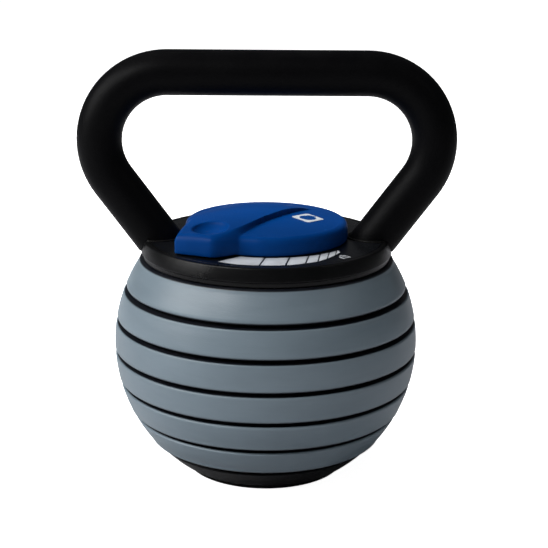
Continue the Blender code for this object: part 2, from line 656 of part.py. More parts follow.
def make_spindle():
    """The flanged shoulder, the square shaft for the cams and the round end pin, in one piece."""
    pin_top = LOWEST_LOBE - PLATE_EDGE
    pin_bottom = END_CAP_TOP - END_CAP_THICKNESS
    shoulder_bottom = HIGHEST_HUB_TOP + 2 * GAP
    spindle = turned("selector_spindle", [
        (0.0, FLANGE_TOP),
        (FLANGE_RADIUS, FLANGE_TOP),
        (FLANGE_RADIUS, FLANGE_BOTTOM),
        (SHOULDER_RADIUS, FLANGE_BOTTOM),
        (SHOULDER_RADIUS, shoulder_bottom),
        (0.0, shoulder_bottom),
    ])
    half = SHAFT_SIDE / 2
    shaft = block("square_shaft", (-half, -half, pin_top), (half, half, shoulder_bottom + PLATE_EDGE))
    combine(spindle, shaft, "UNION")
    pin = cylinder("end_pin", END_PIN_RADIUS, pin_bottom, pin_top + PLATE_EDGE, collection=CUTTERS)
    combine(spindle, pin, "UNION")

    dimples = []
    for index in range(PLATE_COUNT + 1):
        x, y = polar(DIMPLE_CIRCLE, DETENT_ANGLE - index * DIAL_STEP)
        shape = bmesh.new()
        bmesh.ops.create_uvsphere(shape, u_segments=8, v_segments=6, radius=BALL_BEARING_RADIUS + 1.5 * GAP)
        bmesh.ops.translate(shape, verts=shape.verts, vec=(x, y, BALL_HEIGHT + BALL_TRAVEL))
        mesh = bpy.data.meshes.new(f"dimple_{index}")
        shape.to_mesh(mesh)
        shape.free()
        dimples.append(object_from(f"dimple_{index}", mesh, CUTTERS))
    combine(spindle, joined_cutter("dimples", dimples), "DIFFERENCE")
    holes = hole_cutters("spindle_holes", DIAL_SCREWS, SCREW_HOLE, FLANGE_BOTTOM - GROOVE,
                         FLANGE_TOP + GROOVE)
    combine(spindle, holes, "DIFFERENCE")
    seats = hole_cutters("spindle_seats", DIAL_SCREWS, SCREW_HEAD + GAP, FLANGE_BOTTOM - GROOVE,
                         FLANGE_BOTTOM + SCREW_HEAD_HEIGHT - GAP)
    combine(spindle, seats, "DIFFERENCE")
    finish_part(spindle, "ground_steel")

    nut_bottom = END_CAP_TOP + 2 * GAP
    nut = cylinder("spindle_nut", HUB_RADIUS - PLATE_EDGE, nut_bottom, LOWEST_LOBE - GAP, sides=6)
    square_clear = SHAFT_SIDE / 2 + GAP
    nut_bore = cylinder("nut_bore", END_PIN_RADIUS + GAP, 0.0, plate_bottom(1), collection=CUTTERS)
    combine(nut, nut_bore, "DIFFERENCE")
    combine(nut, block("nut_seat", (-square_clear, -square_clear, pin_top - GAP),
                       (square_clear, square_clear, plate_bottom(1))), "DIFFERENCE")
    finish_part(nut, "zinc_steel")

    washer = turned("thrust_washer", [
        (SHOULDER_RADIUS + GAP, FLANGE_BOTTOM - GAP),
        (THRUST_RADIUS, FLANGE_BOTTOM - GAP),
        (THRUST_RADIUS, THRUST_BOTTOM),
        (SHOULDER_RADIUS + GAP, THRUST_BOTTOM),
    ], sides=24)
    finish_part(washer, "bearing_bronze")
    place_screws("dial_screw", DIAL_SCREWS, FLANGE_BOTTOM + SCREW_HEAD_HEIGHT - 2 * GAP,
                 FLANGE_THICKNESS + 2 * SCREW_HEAD, head_height=SCREW_HEAD_HEIGHT - 3 * GAP)


# ---------------------------------------------------------------- handle, carrier and housing

BOLT_PLACES = [(-(LEG_ROOT + BOLT_OUTSET), 0.0), (LEG_ROOT + BOLT_OUTSET, 0.0)]
HOUSING_SCREWS = ring_of(4, HOUSING_RADIUS - HOUSING_BOSS_INSET, 45.0)
DETENT_PLACE = polar(DIMPLE_CIRCLE, DETENT_ANGLE)


def handle_route():
    """Centre line of the right half of the handle, from below the leg's foot to the middle of the bar."""
    bar = HANDLE_TOP - TUBE_RADIUS
    bend_height = bar - HANDLE_BEND
    slope, rise = math.sin(LEG_TILT), math.cos(LEG_TILT)
    bend_x = LEG_ROOT - (HANDLE_BEND + (LEG_BOTTOM - bend_height) * slope) / rise
    below = 1.5 * TUBE_RADIUS
    points = [(LEG_ROOT - below * slope, LEG_BOTTOM - below * rise)]
    for step in range(BEND_STEPS + 1):
        angle = -LEG_TILT + (math.pi / 2 + LEG_TILT) * step / BEND_STEPS
        points.append((bend_x + HANDLE_BEND * math.cos(angle), bend_height + HANDLE_BEND * math.sin(angle)))
    return points


def handle_tube(name, radius, capped, collection):
    """The bent tube's outer surface, cut off level at the carrier."""
    right = handle_route()
    route = right + [(-x, z) for x, z in reversed(right)]
    curve = bpy.data.curves.new(name, "CURVE")
    curve.dimensions = "3D"
    curve.bevel_depth = radius
    curve.bevel_resolution = TUBE_SIDES_RESOLUTION
    curve.use_fill_caps = capped
    spline = curve.splines.new("POLY")
    spline.points.add(len(route) - 1)
    for point, (x, z) in zip(spline.points, route):
        point.co = (x, 0.0, z, 1.0)
    line = object_from(name + "_line", curve, CUTTERS)
    mesh = baked_mesh(line)
    bpy.data.objects.remove(line, do_unlink=True)
    return object_from(name, mesh, collection)


def below_block(name, height):
    """A wide block up to a height, to trim a piece level."""
    reach = 2 * BALL_RADIUS
    return block(name, (-reach, -reach, 0.0), (reach, reach, height))


def make_handle():
    handle = handle_tube("handle", TUBE_RADIUS, False, PARTS)
    wall = handle.modifiers.new("wall", "SOLIDIFY")
    wall.thickness = TUBE_WALL
    wall.offset = -1.0
    wall.use_even_offset = True
    combine(handle, below_block("handle_trim", LEG_BOTTOM), "DIFFERENCE")
    finish_part(handle, "handle_coat", 50.0)

    for side, (x, _), label in ((-1, BOLT_PLACES[0], "left"), (1, BOLT_PLACES[1], "right")):
        tilt = Matrix.Rotation(side * LEG_TILT, 3, "Y")
        plug = cylinder(f"leg_plug_{label}", TUBE_RADIUS - TUBE_WALL - 1.5 * GAP, LEG_BOTTOM - PLUG_LENGTH,
                        LEG_BOTTOM + PLUG_LENGTH, (side * LEG_ROOT, 0.0), axis=tilt)
        combine(plug, below_block(f"plug_trim_{label}", LEG_BOTTOM), "DIFFERENCE")
        hole = cylinder(f"plug_hole_{label}", BOLT_RADIUS + GAP, CARRIER_BOTTOM,
                        LEG_BOTTOM + BOLT_REACH + GAP, (x, 0.0), collection=CUTTERS)
        combine(plug, hole, "DIFFERENCE")
        finish_part(plug, "zinc_steel")
    reach = LEG_BOTTOM + BOLT_REACH - 3 * GAP - CARRIER_BOTTOM
    place_screws("handle_bolt", BOLT_PLACES, CARRIER_BOTTOM - GAP, reach, head=1.55 * BOLT_RADIUS,
                 shank=BOLT_RADIUS, head_height=1.4 * BOLT_RADIUS,
                 names=("handle_bolt_left", "handle_bolt_right"))


def leg_cutter(name):
    """The legs with running room, for the openings that they pass through."""
    legs = handle_tube(name, TUBE_RADIUS + 1.5 * GAP, True, CUTTERS)
    combine(legs, below_block(name + "_trim", CARRIER_TOP), "DIFFERENCE")
    mesh = baked_mesh(legs)
    bpy.data.objects.remove(legs, do_unlink=True)
    return as_cutter(object_from(name, mesh, CUTTERS))


def make_carrier():
    """The steel disc that the legs, the housing and the core are bolted to."""
    carrier = turned("carrier_plate", [
        (SHOULDER_RADIUS + 3 * GAP, CARRIER_TOP),
        (CARRIER_RADIUS, CARRIER_TOP),
        (CARRIER_RADIUS, CARRIER_BOTTOM),
        (SHOULDER_RADIUS + 3 * GAP, CARRIER_BOTTOM),
    ])
    low, high = CARRIER_BOTTOM - GROOVE, CARRIER_TOP + GROOVE
    small = HOUSING_SCREWS + CAGE_SCREWS
    holes = [cylinder(f"carrier_hole_{i}", SCREW_HOLE, low, high, p, SCREW_SIDES, CUTTERS)
             for i, p in enumerate(small)]
    holes += [cylinder(f"carrier_bolt_hole_{i}", BOLT_RADIUS + GAP, low, high, p, 16, CUTTERS)
              for i, p in enumerate(BOLT_PLACES)]
    holes.append(cylinder("carrier_cup_hole", CUP_RADIUS + GAP, low, high, DETENT_PLACE, 16, CUTTERS))
    combine(carrier, joined_cutter("carrier_holes", holes), "DIFFERENCE")
    finish_part(carrier, "zinc_steel")


def make_housing(legs):
    edge = PLATE_EDGE
    inner_bottom = HOUSING_RADIUS - HOUSING_WALL
    inner_top = HOUSING_TOP_RADIUS - HOUSING_WALL
    housing = turned("top_housing", [
        (HOUSING_HOLE, LABEL_FLOOR),
        (LABEL_OUTER + GAP, LABEL_FLOOR),
        (LABEL_OUTER + GAP, HOUSING_TOP),
        (HOUSING_TOP_RADIUS - edge, HOUSING_TOP),
        (HOUSING_TOP_RADIUS, HOUSING_TOP - edge),
        (HOUSING_RADIUS, HOUSING_BOTTOM),
        (inner_bottom, HOUSING_BOTTOM),
        (inner_top, HOUSING_CEILING),
        (HOUSING_HOLE, HOUSING_CEILING),
    ])
    for index, place in enumerate(HOUSING_SCREWS):
        boss = cylinder(f"housing_boss_{index}", HOUSING_BOSS_RADIUS, CARRIER_TOP + GAP,
                        HOUSING_CEILING + GAP, place, SCREW_SIDES, CUTTERS)
        combine(housing, boss, "UNION")
    holes = hole_cutters("housing_holes", HOUSING_SCREWS, SCREW_HOLE, CARRIER_BOTTOM, HOUSING_CEILING)
    combine(housing, holes, "DIFFERENCE")
    combine(housing, legs, "DIFFERENCE")
    finish_part(housing, "housing_coat")
    place_screws("housing_screw", HOUSING_SCREWS, CARRIER_BOTTOM - GAP,
                 HOUSING_CEILING - CARRIER_BOTTOM - GAP)


def make_label(legs):
    top = LABEL_FLOOR + GAP + LABEL_THICKNESS
    label = turned("scale_ring", [
        (LABEL_INNER, top),
        (LABEL_OUTER, top),
        (LABEL_OUTER, LABEL_FLOOR + GAP),
        (LABEL_INNER, LABEL_FLOOR + GAP),
    ])
    combine(label, legs, "DIFFERENCE")
    finish_part(label, "label_film")


# ---------------------------------------------------------------- detent


def make_detent():
    """A sprung ball in a cup on the carrier, which drops into the dimples under the spindle's flange."""
    x, y = DETENT_PLACE
    bore = BALL_BEARING_RADIUS + GAP
    floor = CUP_BOTTOM + 4 * GAP
    cup = turned("detent_cup", [
        (0.0, floor),
        (bore, floor),
        (bore, CUP_TOP),
        (CUP_RADIUS, CUP_TOP),
        (CUP_RADIUS, CUP_BOTTOM),
        (0.0, CUP_BOTTOM),
    ], sides=16)
    cup.location = (x, y, 0.0)
    finish_part(cup, "ground_steel")

    shape = bmesh.new()
    bmesh.ops.create_uvsphere(shape, u_segments=10, v_segments=6, radius=BALL_BEARING_RADIUS)
    mesh = bpy.data.meshes.new("detent_ball")
    shape.to_mesh(mesh)
    shape.free()
    ball = object_from("detent_ball", mesh, PARTS)
    ball.location = (x, y, BALL_HEIGHT)
    finish_part(ball, "ground_steel")

    top = BALL_HEIGHT - BALL_BEARING_RADIUS - GAP - SPRING_WIRE
    bottom = floor + GAP + SPRING_WIRE
    turn_points = 8
    radius = bore - SPRING_WIRE - 2 * GAP
    count = SPRING_TURNS * turn_points
    curve = bpy.data.curves.new("detent_spring", "CURVE")
    curve.dimensions = "3D"
    curve.bevel_depth = SPRING_WIRE
    curve.bevel_resolution = 1
    curve.use_fill_caps = True
    spline = curve.splines.new("POLY")
    spline.points.add(count)
    for index, point in enumerate(spline.points):
        px, py = polar(radius, 360.0 * index / turn_points)
        point.co = (px, py, bottom + (top - bottom) * index / count, 1.0)
    line = object_from("detent_spring_line", curve, CUTTERS)
    mesh = baked_mesh(line)
    bpy.data.objects.remove(line, do_unlink=True)
    spring = object_from("detent_spring", mesh, PARTS)
    spring.location = (x, y, 0.0)
    finish_part(spring, "ground_steel")


# ---------------------------------------------------------------- dial


def arm_outline():
    """Plan of the raised half of the dial: a tip at the front left, a swept edge across the middle.

    The points are in dial radii, so that the arm follows the dial's size.
    """
    tip = [(-1.103, -0.923), (-0.622, -1.131)]
    sweep = [(-0.330, -0.939), (-0.298, -0.837), (-0.179, -0.626), (-0.026, -0.334),
             (0.132, -0.098), (0.294, 0.128), (0.441, 0.294), (0.622, 0.415), (0.858, 0.499)]
    left = [(-1.018, -0.471), (-1.074, -0.707)]
    edge = 0.994
    start = math.degrees(math.atan2(sweep[-1][1], sweep[-1][0]))
    end = 193.0
    count = 12
    back = [polar(edge, start + (end - start) * i / count) for i in range(count + 1)]
    return [(DIAL_RADIUS * x, DIAL_RADIUS * y) for x, y in tip + sweep + back + left]


def make_dial():
    """Turned disc with a domed top, the raised swept arm, a hollow underside and a finger recess."""
    round_steps = 3
    shoulder = DIAL_RADIUS - DIAL_SHOULDER_WIDTH
    shoulder_top = DIAL_WALL_TOP + DIAL_SHOULDER_HEIGHT
    dome = [(shoulder * i / 3, DIAL_TOP - (DIAL_TOP - shoulder_top) * (i / 3) ** 2) for i in range(4)]
    rounding = []
    for step in range(1, round_steps + 1):
        angle = math.pi / 2 * step / round_steps
        rounding.append((shoulder + (DIAL_RADIUS - shoulder) * math.sin(angle),
                         DIAL_WALL_TOP + (shoulder_top - DIAL_WALL_TOP) * math.cos(angle)))
    dial = turned("dial", dome + rounding + [
        (DIAL_RADIUS, DIAL_BOTTOM),
        (DIAL_BOSS_OUTER, DIAL_BOTTOM),
        (DIAL_BOSS_OUTER, DIAL_BOSS_BOTTOM),
        (DIAL_BOSS_INNER, DIAL_BOSS_BOTTOM),
        (0.0, DIAL_BOSS_BOTTOM + GAP),
    ])
    outline = arm_outline()
    arm = prism("arm", outline, ARM_BOTTOM, ARM_TOP + PLATE_EDGE, CUTTERS)
    reach = max((Vector(point) - Vector(CROWN_PLACE)).length for point in outline)
    steps = 6
    shares = [1.1 * i / steps for i in range(steps + 1)]  # of the reach, past the outline
    crown = [(share * reach, ARM_TOP - ARM_TIP_DROP * share**2) for share in shares]
    crown += [(shares[-1] * reach, FLANGE_TOP), (0.0, FLANGE_TOP)]
    crown_solid = turned("arm_crown", crown, CUTTERS, SMALL_FACETS)
    crown_solid.location = (*CROWN_PLACE, 0.0)
    combine(arm, crown_solid, "INTERSECT")
    arm_mesh = baked_mesh(arm)
    bpy.data.objects.remove(arm, do_unlink=True)
    combine(dial, object_from("arm", arm_mesh, CUTTERS), "UNION")

    cavity_top = shoulder_top - DIAL_SHELL
    cavity = turned("dial_cavity", [
        (DIAL_BOSS_OUTER + GAP, cavity_top),
        (shoulder - DIAL_SHELL, cavity_top),
        (DIAL_RADIUS - DIAL_SHELL, DIAL_WALL_TOP - DIAL_SHELL),
        (DIAL_RADIUS - DIAL_SHELL, FLANGE_TOP),
        (DIAL_BOSS_OUTER + GAP, FLANGE_TOP),
    ], CUTTERS, SMALL_FACETS)
    combine(dial, cavity, "DIFFERENCE")
    middle = turned("dial_middle", [
        (0.0, cavity_top),
        (DIAL_BOSS_INNER, cavity_top),
        (DIAL_BOSS_INNER, FLANGE_BOTTOM),
        (0.0, FLANGE_BOTTOM),
    ], CUTTERS, 16)
    combine(dial, middle, "DIFFERENCE")
    threads = hole_cutters("dial_threads", DIAL_SCREWS, SCREW_HOLE, FLANGE_TOP - GROOVE,
                           FLANGE_TOP + 3 * SCREW_HEAD)
    combine(dial, threads, "DIFFERENCE")

    x, y = RECESS_INSET[0] - DIAL_RADIUS, RECESS_INSET[1] - DIAL_RADIUS
    drop = ARM_TIP_DROP * ((Vector((x, y)) - Vector(CROWN_PLACE)).length / reach) ** 2
    shape = bmesh.new()
    bmesh.ops.create_uvsphere(shape, u_segments=14, v_segments=8, radius=1.0)
    bmesh.ops.scale(shape, verts=shape.verts, vec=RECESS_SIZE)
    bmesh.ops.translate(shape, verts=shape.verts, vec=(x, y, ARM_TOP - drop + PLATE_EDGE))
    mesh = bpy.data.meshes.new("finger_recess")
    shape.to_mesh(mesh)
    shape.free()
    combine(dial, object_from("finger_recess", mesh, CUTTERS), "DIFFERENCE")
    finish_part(dial, "dial_plastic")


# ---------------------------------------------------------------- build

make_base()
for plate_number in range(1, PLATE_COUNT + 1):
    make_plate(plate_number)
    make_pad(plate_number)
make_cams()
make_core_cage()
make_end_cap()
make_spindle()
make_carrier()
make_handle()
LEGS = leg_cutter("leg_openings")
make_housing(LEGS)
make_label(LEGS)
make_detent()
make_dial()
bpy.context.view_layer.update()
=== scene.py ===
# %% [markdown]
# # An adjustable kettlebell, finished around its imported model
#
# The kettlebell is a stack of six cast plates between a base and a handle. A blue dial on top
# of the handle unit picks how many plates come along when the handle is lifted. The packed
# model brings every part in its real place, in metres, and it also moves: the plates lift, the
# handle lifts and the dial turns. This lesson builds the pieces that show, with rounded edges
# and real finishes, and lets each of them ride on the body that it belongs to.

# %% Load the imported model
import math

import bmesh
import bpy
import numpy as np
from mathutils import Matrix, Vector


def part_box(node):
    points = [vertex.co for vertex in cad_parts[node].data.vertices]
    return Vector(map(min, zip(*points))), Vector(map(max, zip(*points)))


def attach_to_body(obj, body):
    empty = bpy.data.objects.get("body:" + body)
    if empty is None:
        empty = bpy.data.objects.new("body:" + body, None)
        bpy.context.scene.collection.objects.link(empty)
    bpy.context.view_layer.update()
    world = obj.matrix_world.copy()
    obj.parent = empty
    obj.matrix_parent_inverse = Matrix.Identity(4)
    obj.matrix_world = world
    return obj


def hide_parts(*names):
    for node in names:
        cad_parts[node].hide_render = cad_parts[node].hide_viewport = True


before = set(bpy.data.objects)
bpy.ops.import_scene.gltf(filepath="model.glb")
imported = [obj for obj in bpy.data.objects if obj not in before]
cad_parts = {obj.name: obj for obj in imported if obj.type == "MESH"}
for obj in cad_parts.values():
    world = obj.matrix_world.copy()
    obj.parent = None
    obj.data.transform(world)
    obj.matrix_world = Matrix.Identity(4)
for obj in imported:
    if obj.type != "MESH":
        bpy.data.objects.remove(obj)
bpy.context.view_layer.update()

MM = 0.001

# %% [markdown]
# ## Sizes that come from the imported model
#
# Nothing is fitted by eye. The plates are slices of one ball, so the ball's centre and radius
# follow from the boxes of two plates: each box is as wide as the ball is at that height. The
# same goes for the handle's tube, the housing and the dial. All lengths below are in
# millimetres, because they are easier to read, and they turn into metres when a mesh is made.

# %% Measure the stack of plates
NUMBERS = range(1, 7)  # of the plates, from the top one down
EDGE = 1.0  # rounded edge of a plate
PEG_HEIGHT = 5.5  # of the two pegs that centre the next plate


def low_high(node):
    """The two corners of a node's box, in millimetres."""
    return [[x / MM for x in corner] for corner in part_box(node)]


plate_bottom = {n: low_high(f"plate_{n}")[0][2] for n in NUMBERS}
plate_top = {n: low_high(f"plate_{n}")[1][2] - (PEG_HEIGHT if n > 1 else 0) for n in NUMBERS}

# The two top plates are widest just above their undersides.
wide_at = {n: plate_bottom[n] + EDGE for n in (1, 2)}
wide = {n: low_high(f"plate_{n}")[1][0] for n in (1, 2)}
rise = wide_at[1] - wide_at[2]
BALL_Z = (wide_at[1] ** 2 - wide_at[2] ** 2 + wide[1] ** 2 - wide[2] ** 2) / (2 * rise)
BALL = math.hypot(wide[1], wide_at[1] - BALL_Z)
print("ball radius", round(BALL, 2), "mm, centre", round(BALL_Z, 2), "mm above the floor")


def ball_at(height):
    """Radius of the ball at a height above the floor."""
    return math.sqrt(BALL**2 - (height - BALL_Z) ** 2)


# %% Measure the handle, the housing and the dial
handle_low, handle_high = low_high("handle")
TUBE = (handle_high[1] - handle_low[1]) / 2
BEND = 44.0  # radius of the tube's two bends, at its centre line
LEAN = math.radians(36.5)  # of the legs, from upright
bar_z = handle_high[2] - TUBE
bend_x = handle_high[0] - TUBE - BEND
bend_z = bar_z - BEND
leg_foot_z = handle_low[2]
leg_foot_x = bend_x + BEND / math.cos(LEAN) - (bend_z - leg_foot_z) * math.tan(LEAN)

housing_low, housing_high = low_high("top_housing")
HOUSING = housing_high[0]
HOUSING_TAPER = 2.6  # its wall leans in by this much up to the top
housing_top = housing_high[2]
housing_bottom = housing_low[2]
HOUSING_TOP_RADIUS = HOUSING - HOUSING_TAPER

DIAL = low_high("dial")[1][0]
dial_bottom = housing_top + 0.3
print("tube radius", round(TUBE, 2), "leg foot at x", round(leg_foot_x, 2))
print("housing radius", round(HOUSING, 2), "dial radius", round(DIAL, 2))

# %% [markdown]
# ## Tools for the meshes
#
# Most pieces here were turned or cast, so most meshes are made from a profile that goes once
# round an axis. A profile is a list of corners, and each corner has a small radius, because a
# real edge catches light and a perfectly sharp one doesn't. Blender's Bevel modifier could
# round them afterwards. Rounding the profile first gives clean rings of four-sided faces and
# needs no clean-up.

# %% A mesh piece from points and faces
CREASE = 38.0  # degrees from which an edge is shaded as a crease


def place_object(name, data):
    """A new object in the scene for a mesh, a lamp or a camera."""
    made = bpy.data.objects.new(name, data)
    bpy.context.scene.collection.objects.link(made)
    return made


def soften(piece, crease=CREASE):
    """Outward faces, smooth shading, and creases where the surface really turns."""
    shape = bmesh.new()
    shape.from_mesh(piece.data)
    bmesh.ops.remove_doubles(shape, verts=shape.verts, dist=1e-6)
    bmesh.ops.dissolve_degenerate(shape, edges=shape.edges, dist=1e-7)
    bmesh.ops.recalc_face_normals(shape, faces=shape.faces)
    shape.to_mesh(piece.data)
    shape.free()
    piece.data.shade_smooth()
    piece.data.set_sharp_from_angle(angle=math.radians(crease))


def mesh_piece(name, points, faces, crease=CREASE):
    """A new piece; its points are in millimetres."""
    mesh = bpy.data.meshes.new(name)
    mesh.from_pydata((np.asarray(points, float) * MM).tolist(), [], faces)
    piece = place_object(name, mesh)
    soften(piece, crease)
    return piece


def ring_faces(rings, size, closed=True):
    """Faces between rings of points; a closed set also joins the last ring to the first."""
    faces = []
    for ring in range(rings if closed else rings - 1):
        near, far = ring * size, (ring + 1) % rings * size
        for step in range(size):
            after = (step + 1) % size
            faces.append((near + step, far + step, far + after, near + after))
    return faces


def tell(piece):
    print(piece.name, "has", len(piece.data.polygons), "faces")


# %% Round the corners of a profile
ARC_STEPS = 4
MOST = 0.49  # of a side, which is what one corner may take of it


def rounded(corners):
    """(radius, height, corner radius) corners as a closed list of (radius, height) points."""
    line = []
    for index, (x, z, fillet) in enumerate(corners):
        here = Vector((x, z))
        if fillet <= 0:
            line.append((x, z))
            continue
        before = Vector(corners[index - 1][:2]) - here
        after = Vector(corners[(index + 1) % len(corners)][:2]) - here
        half = before.angle(after) / 2
        reach = min(fillet / math.tan(half), MOST * before.length, MOST * after.length)
        before.normalize()
        after.normalize()
        start, end = here + before * reach, here + after * reach
        middle = here + (before + after).normalized() * reach / math.cos(half)
        radius = (start - middle).length
        for step in range(ARC_STEPS + 1):
            spoke = start.lerp(end, step / ARC_STEPS) - middle
            line.append(tuple(middle + spoke.normalized() * radius))
    return line


# %% Turn a profile round the upright axis
SIDES = 192


def loft(name, angles, profile_at):
    """Joins the closed profiles at these angles (degrees) into one skin."""
    points = []
    for angle in angles:
        turn = math.radians(angle)
        points += [(r * math.cos(turn), r * math.sin(turn), z) for r, z in profile_at(angle)]
    return mesh_piece(name, points, ring_faces(len(angles), len(points) // len(angles)))


def turned(name, corners, sides=SIDES):
    """A turned piece. Points on the axis are welded into one."""
    line = rounded(corners)
    return loft(name, [360.0 * i / sides for i in range(sides)], lambda angle: line)


# %% Cut and join solids, and keep only the result


def combine(piece, tools, operation):
    """Cuts (DIFFERENCE) or joins (UNION) helper pieces, then removes them."""
    for tool in tools:
        step = piece.modifiers.new(tool.name, "BOOLEAN")
        step.object, step.operation, step.solver = tool, operation, "EXACT"
    graph = bpy.context.evaluated_depsgraph_get()
    mesh = bpy.data.meshes.new_from_object(piece.evaluated_get(graph))
    piece.modifiers.clear()
    piece.data = mesh
    soften(piece)
    for tool in tools:
        bpy.data.objects.remove(tool, do_unlink=True)


def post(name, place, radius, bottom, top, edge):
    """A small upright post with a softened top, for pegs and for the holes they go into."""
    corners = [(0, bottom, 0), (radius, bottom, 0), (radius, top, edge), (0, top, 0)]
    piece = turned(name, corners, 40)
    piece.data.transform(Matrix.Translation((place[0] * MM, place[1] * MM, 0.0)))
    return piece


print("profile tools are ready, with", SIDES, "sides to a turn")

# %% [markdown]
# ## Which body and which finish
#
# A piece is only finished when three things are said about it: the body that it rides on, the
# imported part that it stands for, and the finish slot of the record that it uses. One small
# function says all three, so none is forgotten.

# %% Attach a piece
built = []


def attach(piece, body, slot, *stands_for):
    """The piece rides on a body, wears a slot's finish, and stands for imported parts."""
    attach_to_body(piece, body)
    if stands_for:
        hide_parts(*stands_for)
    built.append((piece, slot))
    return piece


# %% [markdown]
# ## The cast plates
#
# Each plate is a slice of the ball with a stepped hole. The narrow part of the hole slides on
# the core. It has two wide notches, where the selector's lobes drop through, and two small
# keyways that stop the plate from turning. The notches are wider on the lower plates, so each
# further step of the dial frees one plate fewer. A boolean cut could make that hole. Here the
# hole's radius simply depends on the angle, so every face stays four-sided.

# %% The hole through a plate
BORE = 19.6
KEYWAY = 22.6
NOTCH = 27.0
COUNTERBORE = 28.0
COUNTERBORE_DEPTH = 7.0
DIAL_STEP = 16.0  # degrees of the dial for each plate
FIRST_LOBE = -138.0  # degrees
HALF_NOTCH = 13.0
HALF_KEYWAY = 10.0
CORNER = 0.12  # degrees over which the hole's wall steps in or out
CLEAR = 0.5  # degrees that stay free of other points round such a step


def bore_bands(number):
    """(start, end, radius) of the parts of the hole that reach further out, in degrees."""
    bands = []
    for turn in (0.0, 180.0):
        first = FIRST_LOBE + turn
        last = first + (number - 1) * DIAL_STEP
        bands.append((first - HALF_NOTCH, last + HALF_NOTCH, NOTCH))
        bands.append((turn - HALF_KEYWAY, turn + HALF_KEYWAY, KEYWAY))
    return bands


def bore_at(number, angle):
    """Radius of the hole at an angle."""
    reach = BORE
    for start, end, radius in bore_bands(number):
        if (angle - start) % 360.0 <= end - start:
            reach = max(reach, radius)
    return reach


def plate_angles(number):
    """Even steps round the plate, with two more at each side of every notch."""
    corners = [edge % 360.0 for band in bore_bands(number) for edge in band[:2]]
    even = [360.0 * i / SIDES for i in range(SIDES)]
    clear = [a for a in even if all(abs((a - c + 180) % 360 - 180) > CLEAR for c in corners)]
    return sorted(clear + [(c + s) % 360.0 for c in corners for s in (-CORNER, CORNER)])


# %% The outside of a plate
SIDE_STEPS = 12
LOWER_ROUND = 2.3  # the lower edge is rounded more, which makes the grooves look deep
LOWER_INSET = 2.0  # how far inside the ball the round edge meets the underside


def side_points(bottom, top, top_edge):
    """The ball's surface from the lower to the upper edge, both edges rounded."""
    low, high = bottom + LOWER_ROUND, top - top_edge
    foot = ball_at(bottom + EDGE) - LOWER_INSET
    points = []
    for step in range(ARC_STEPS + 2):
        turn = math.pi / 2 * step / (ARC_STEPS + 2)
        radius = foot + (ball_at(low) - foot) * math.sin(turn)
        points.append((radius, low - LOWER_ROUND * math.cos(turn)))
    heights = [low + (high - low) * i / SIDE_STEPS for i in range(SIDE_STEPS + 1)]
    points += [(ball_at(h), h) for h in heights]
    for step in range(1, ARC_STEPS + 1):
        turn = math.pi / 2 * step / ARC_STEPS
        radius = ball_at(high) - top_edge * (1 - math.cos(turn))
        points.append((radius, high + top_edge * math.sin(turn)))
    return points


# %% [markdown]
# The faces that meet the next plate, the edges that turn into them and everything deeper inside
# the ball are painted near black in the colour: painted shade, which makes the grooves between
# the plates look dark, and on the top plate a dark band under the housing. A value on each point
# of the mesh says how much painted shade goes there, and the enamel's material reads it. An image
# would do the same job, but a plate is round and the shade follows its height, so a value per
# point is simpler and exact.

# %% Mark where painted shade darkens the plates
GROOVE_SHADE_BELOW = 1.5  # height of the painted shade over the underside
GROOVE_SHADE_FADE = 0.7
GROOVE_SHADE_ABOVE = {True: 1.1, False: 0.12}  # the same under the top face; more on the top plate, as painted shade under the housing
GROOVE_SHADE_ABOVE_FADE = 0.1
SKIN = 2.6  # everything further inside the ball than this gets painted shade


def mark_painted_groove_shade(plate, number):
    """Stores 1 where painted shade darkens the faces and edges at the grooves, and 0 on the enamel."""
    height = np.array([v.co.z for v in plate.data.vertices]) / MM
    reach = np.array([math.hypot(v.co.x, v.co.y) for v in plate.data.vertices]) / MM
    bottom, top = plate_bottom[number], plate_top[number]
    below = np.clip((bottom + GROOVE_SHADE_BELOW - height) / GROOVE_SHADE_FADE, 0, 1)
    above = np.clip((height - top + GROOVE_SHADE_ABOVE[number == 1]) / GROOVE_SHADE_ABOVE_FADE, 0, 1)
    side = np.sqrt(BALL**2 - (height.clip(bottom, top) - BALL_Z) ** 2)
    inside_skin = reach < side - SKIN
    value = np.maximum.reduce([below, above, inside_skin.astype(float)])
    store = plate.data.attributes.new("painted_shade", "FLOAT", "POINT")
    store.data.foreach_set("value", value.astype(np.float32))


# %% Cast the six plates
PLAIN_EDGE = 1.3  # rounded upper edge of a plate
TOP_EDGE = 2.0  # the same on the top plate
PEG = 5.0  # radius of a peg
PEG_PLAY = 0.5
PEG_ROOT = 3.0  # a peg starts this far below the face that it stands on
SOCKET_DEPTH = 3.5
PEG_PLACES = [(0.0, 40.0), (0.0, -40.0)]
POCKET_DEPTH = 8.5  # in the top plate, for the handle unit
POCKET_ROUND = 1.0
RIM = 4.5  # width of the top plate's flat rim
CHAMFER = 0.5


def pegs_at(name, radius, bottom, top, edge):
    return [post(f"{name}_{i}", place, radius, bottom, top, edge)
            for i, place in enumerate(PEG_PLACES)]


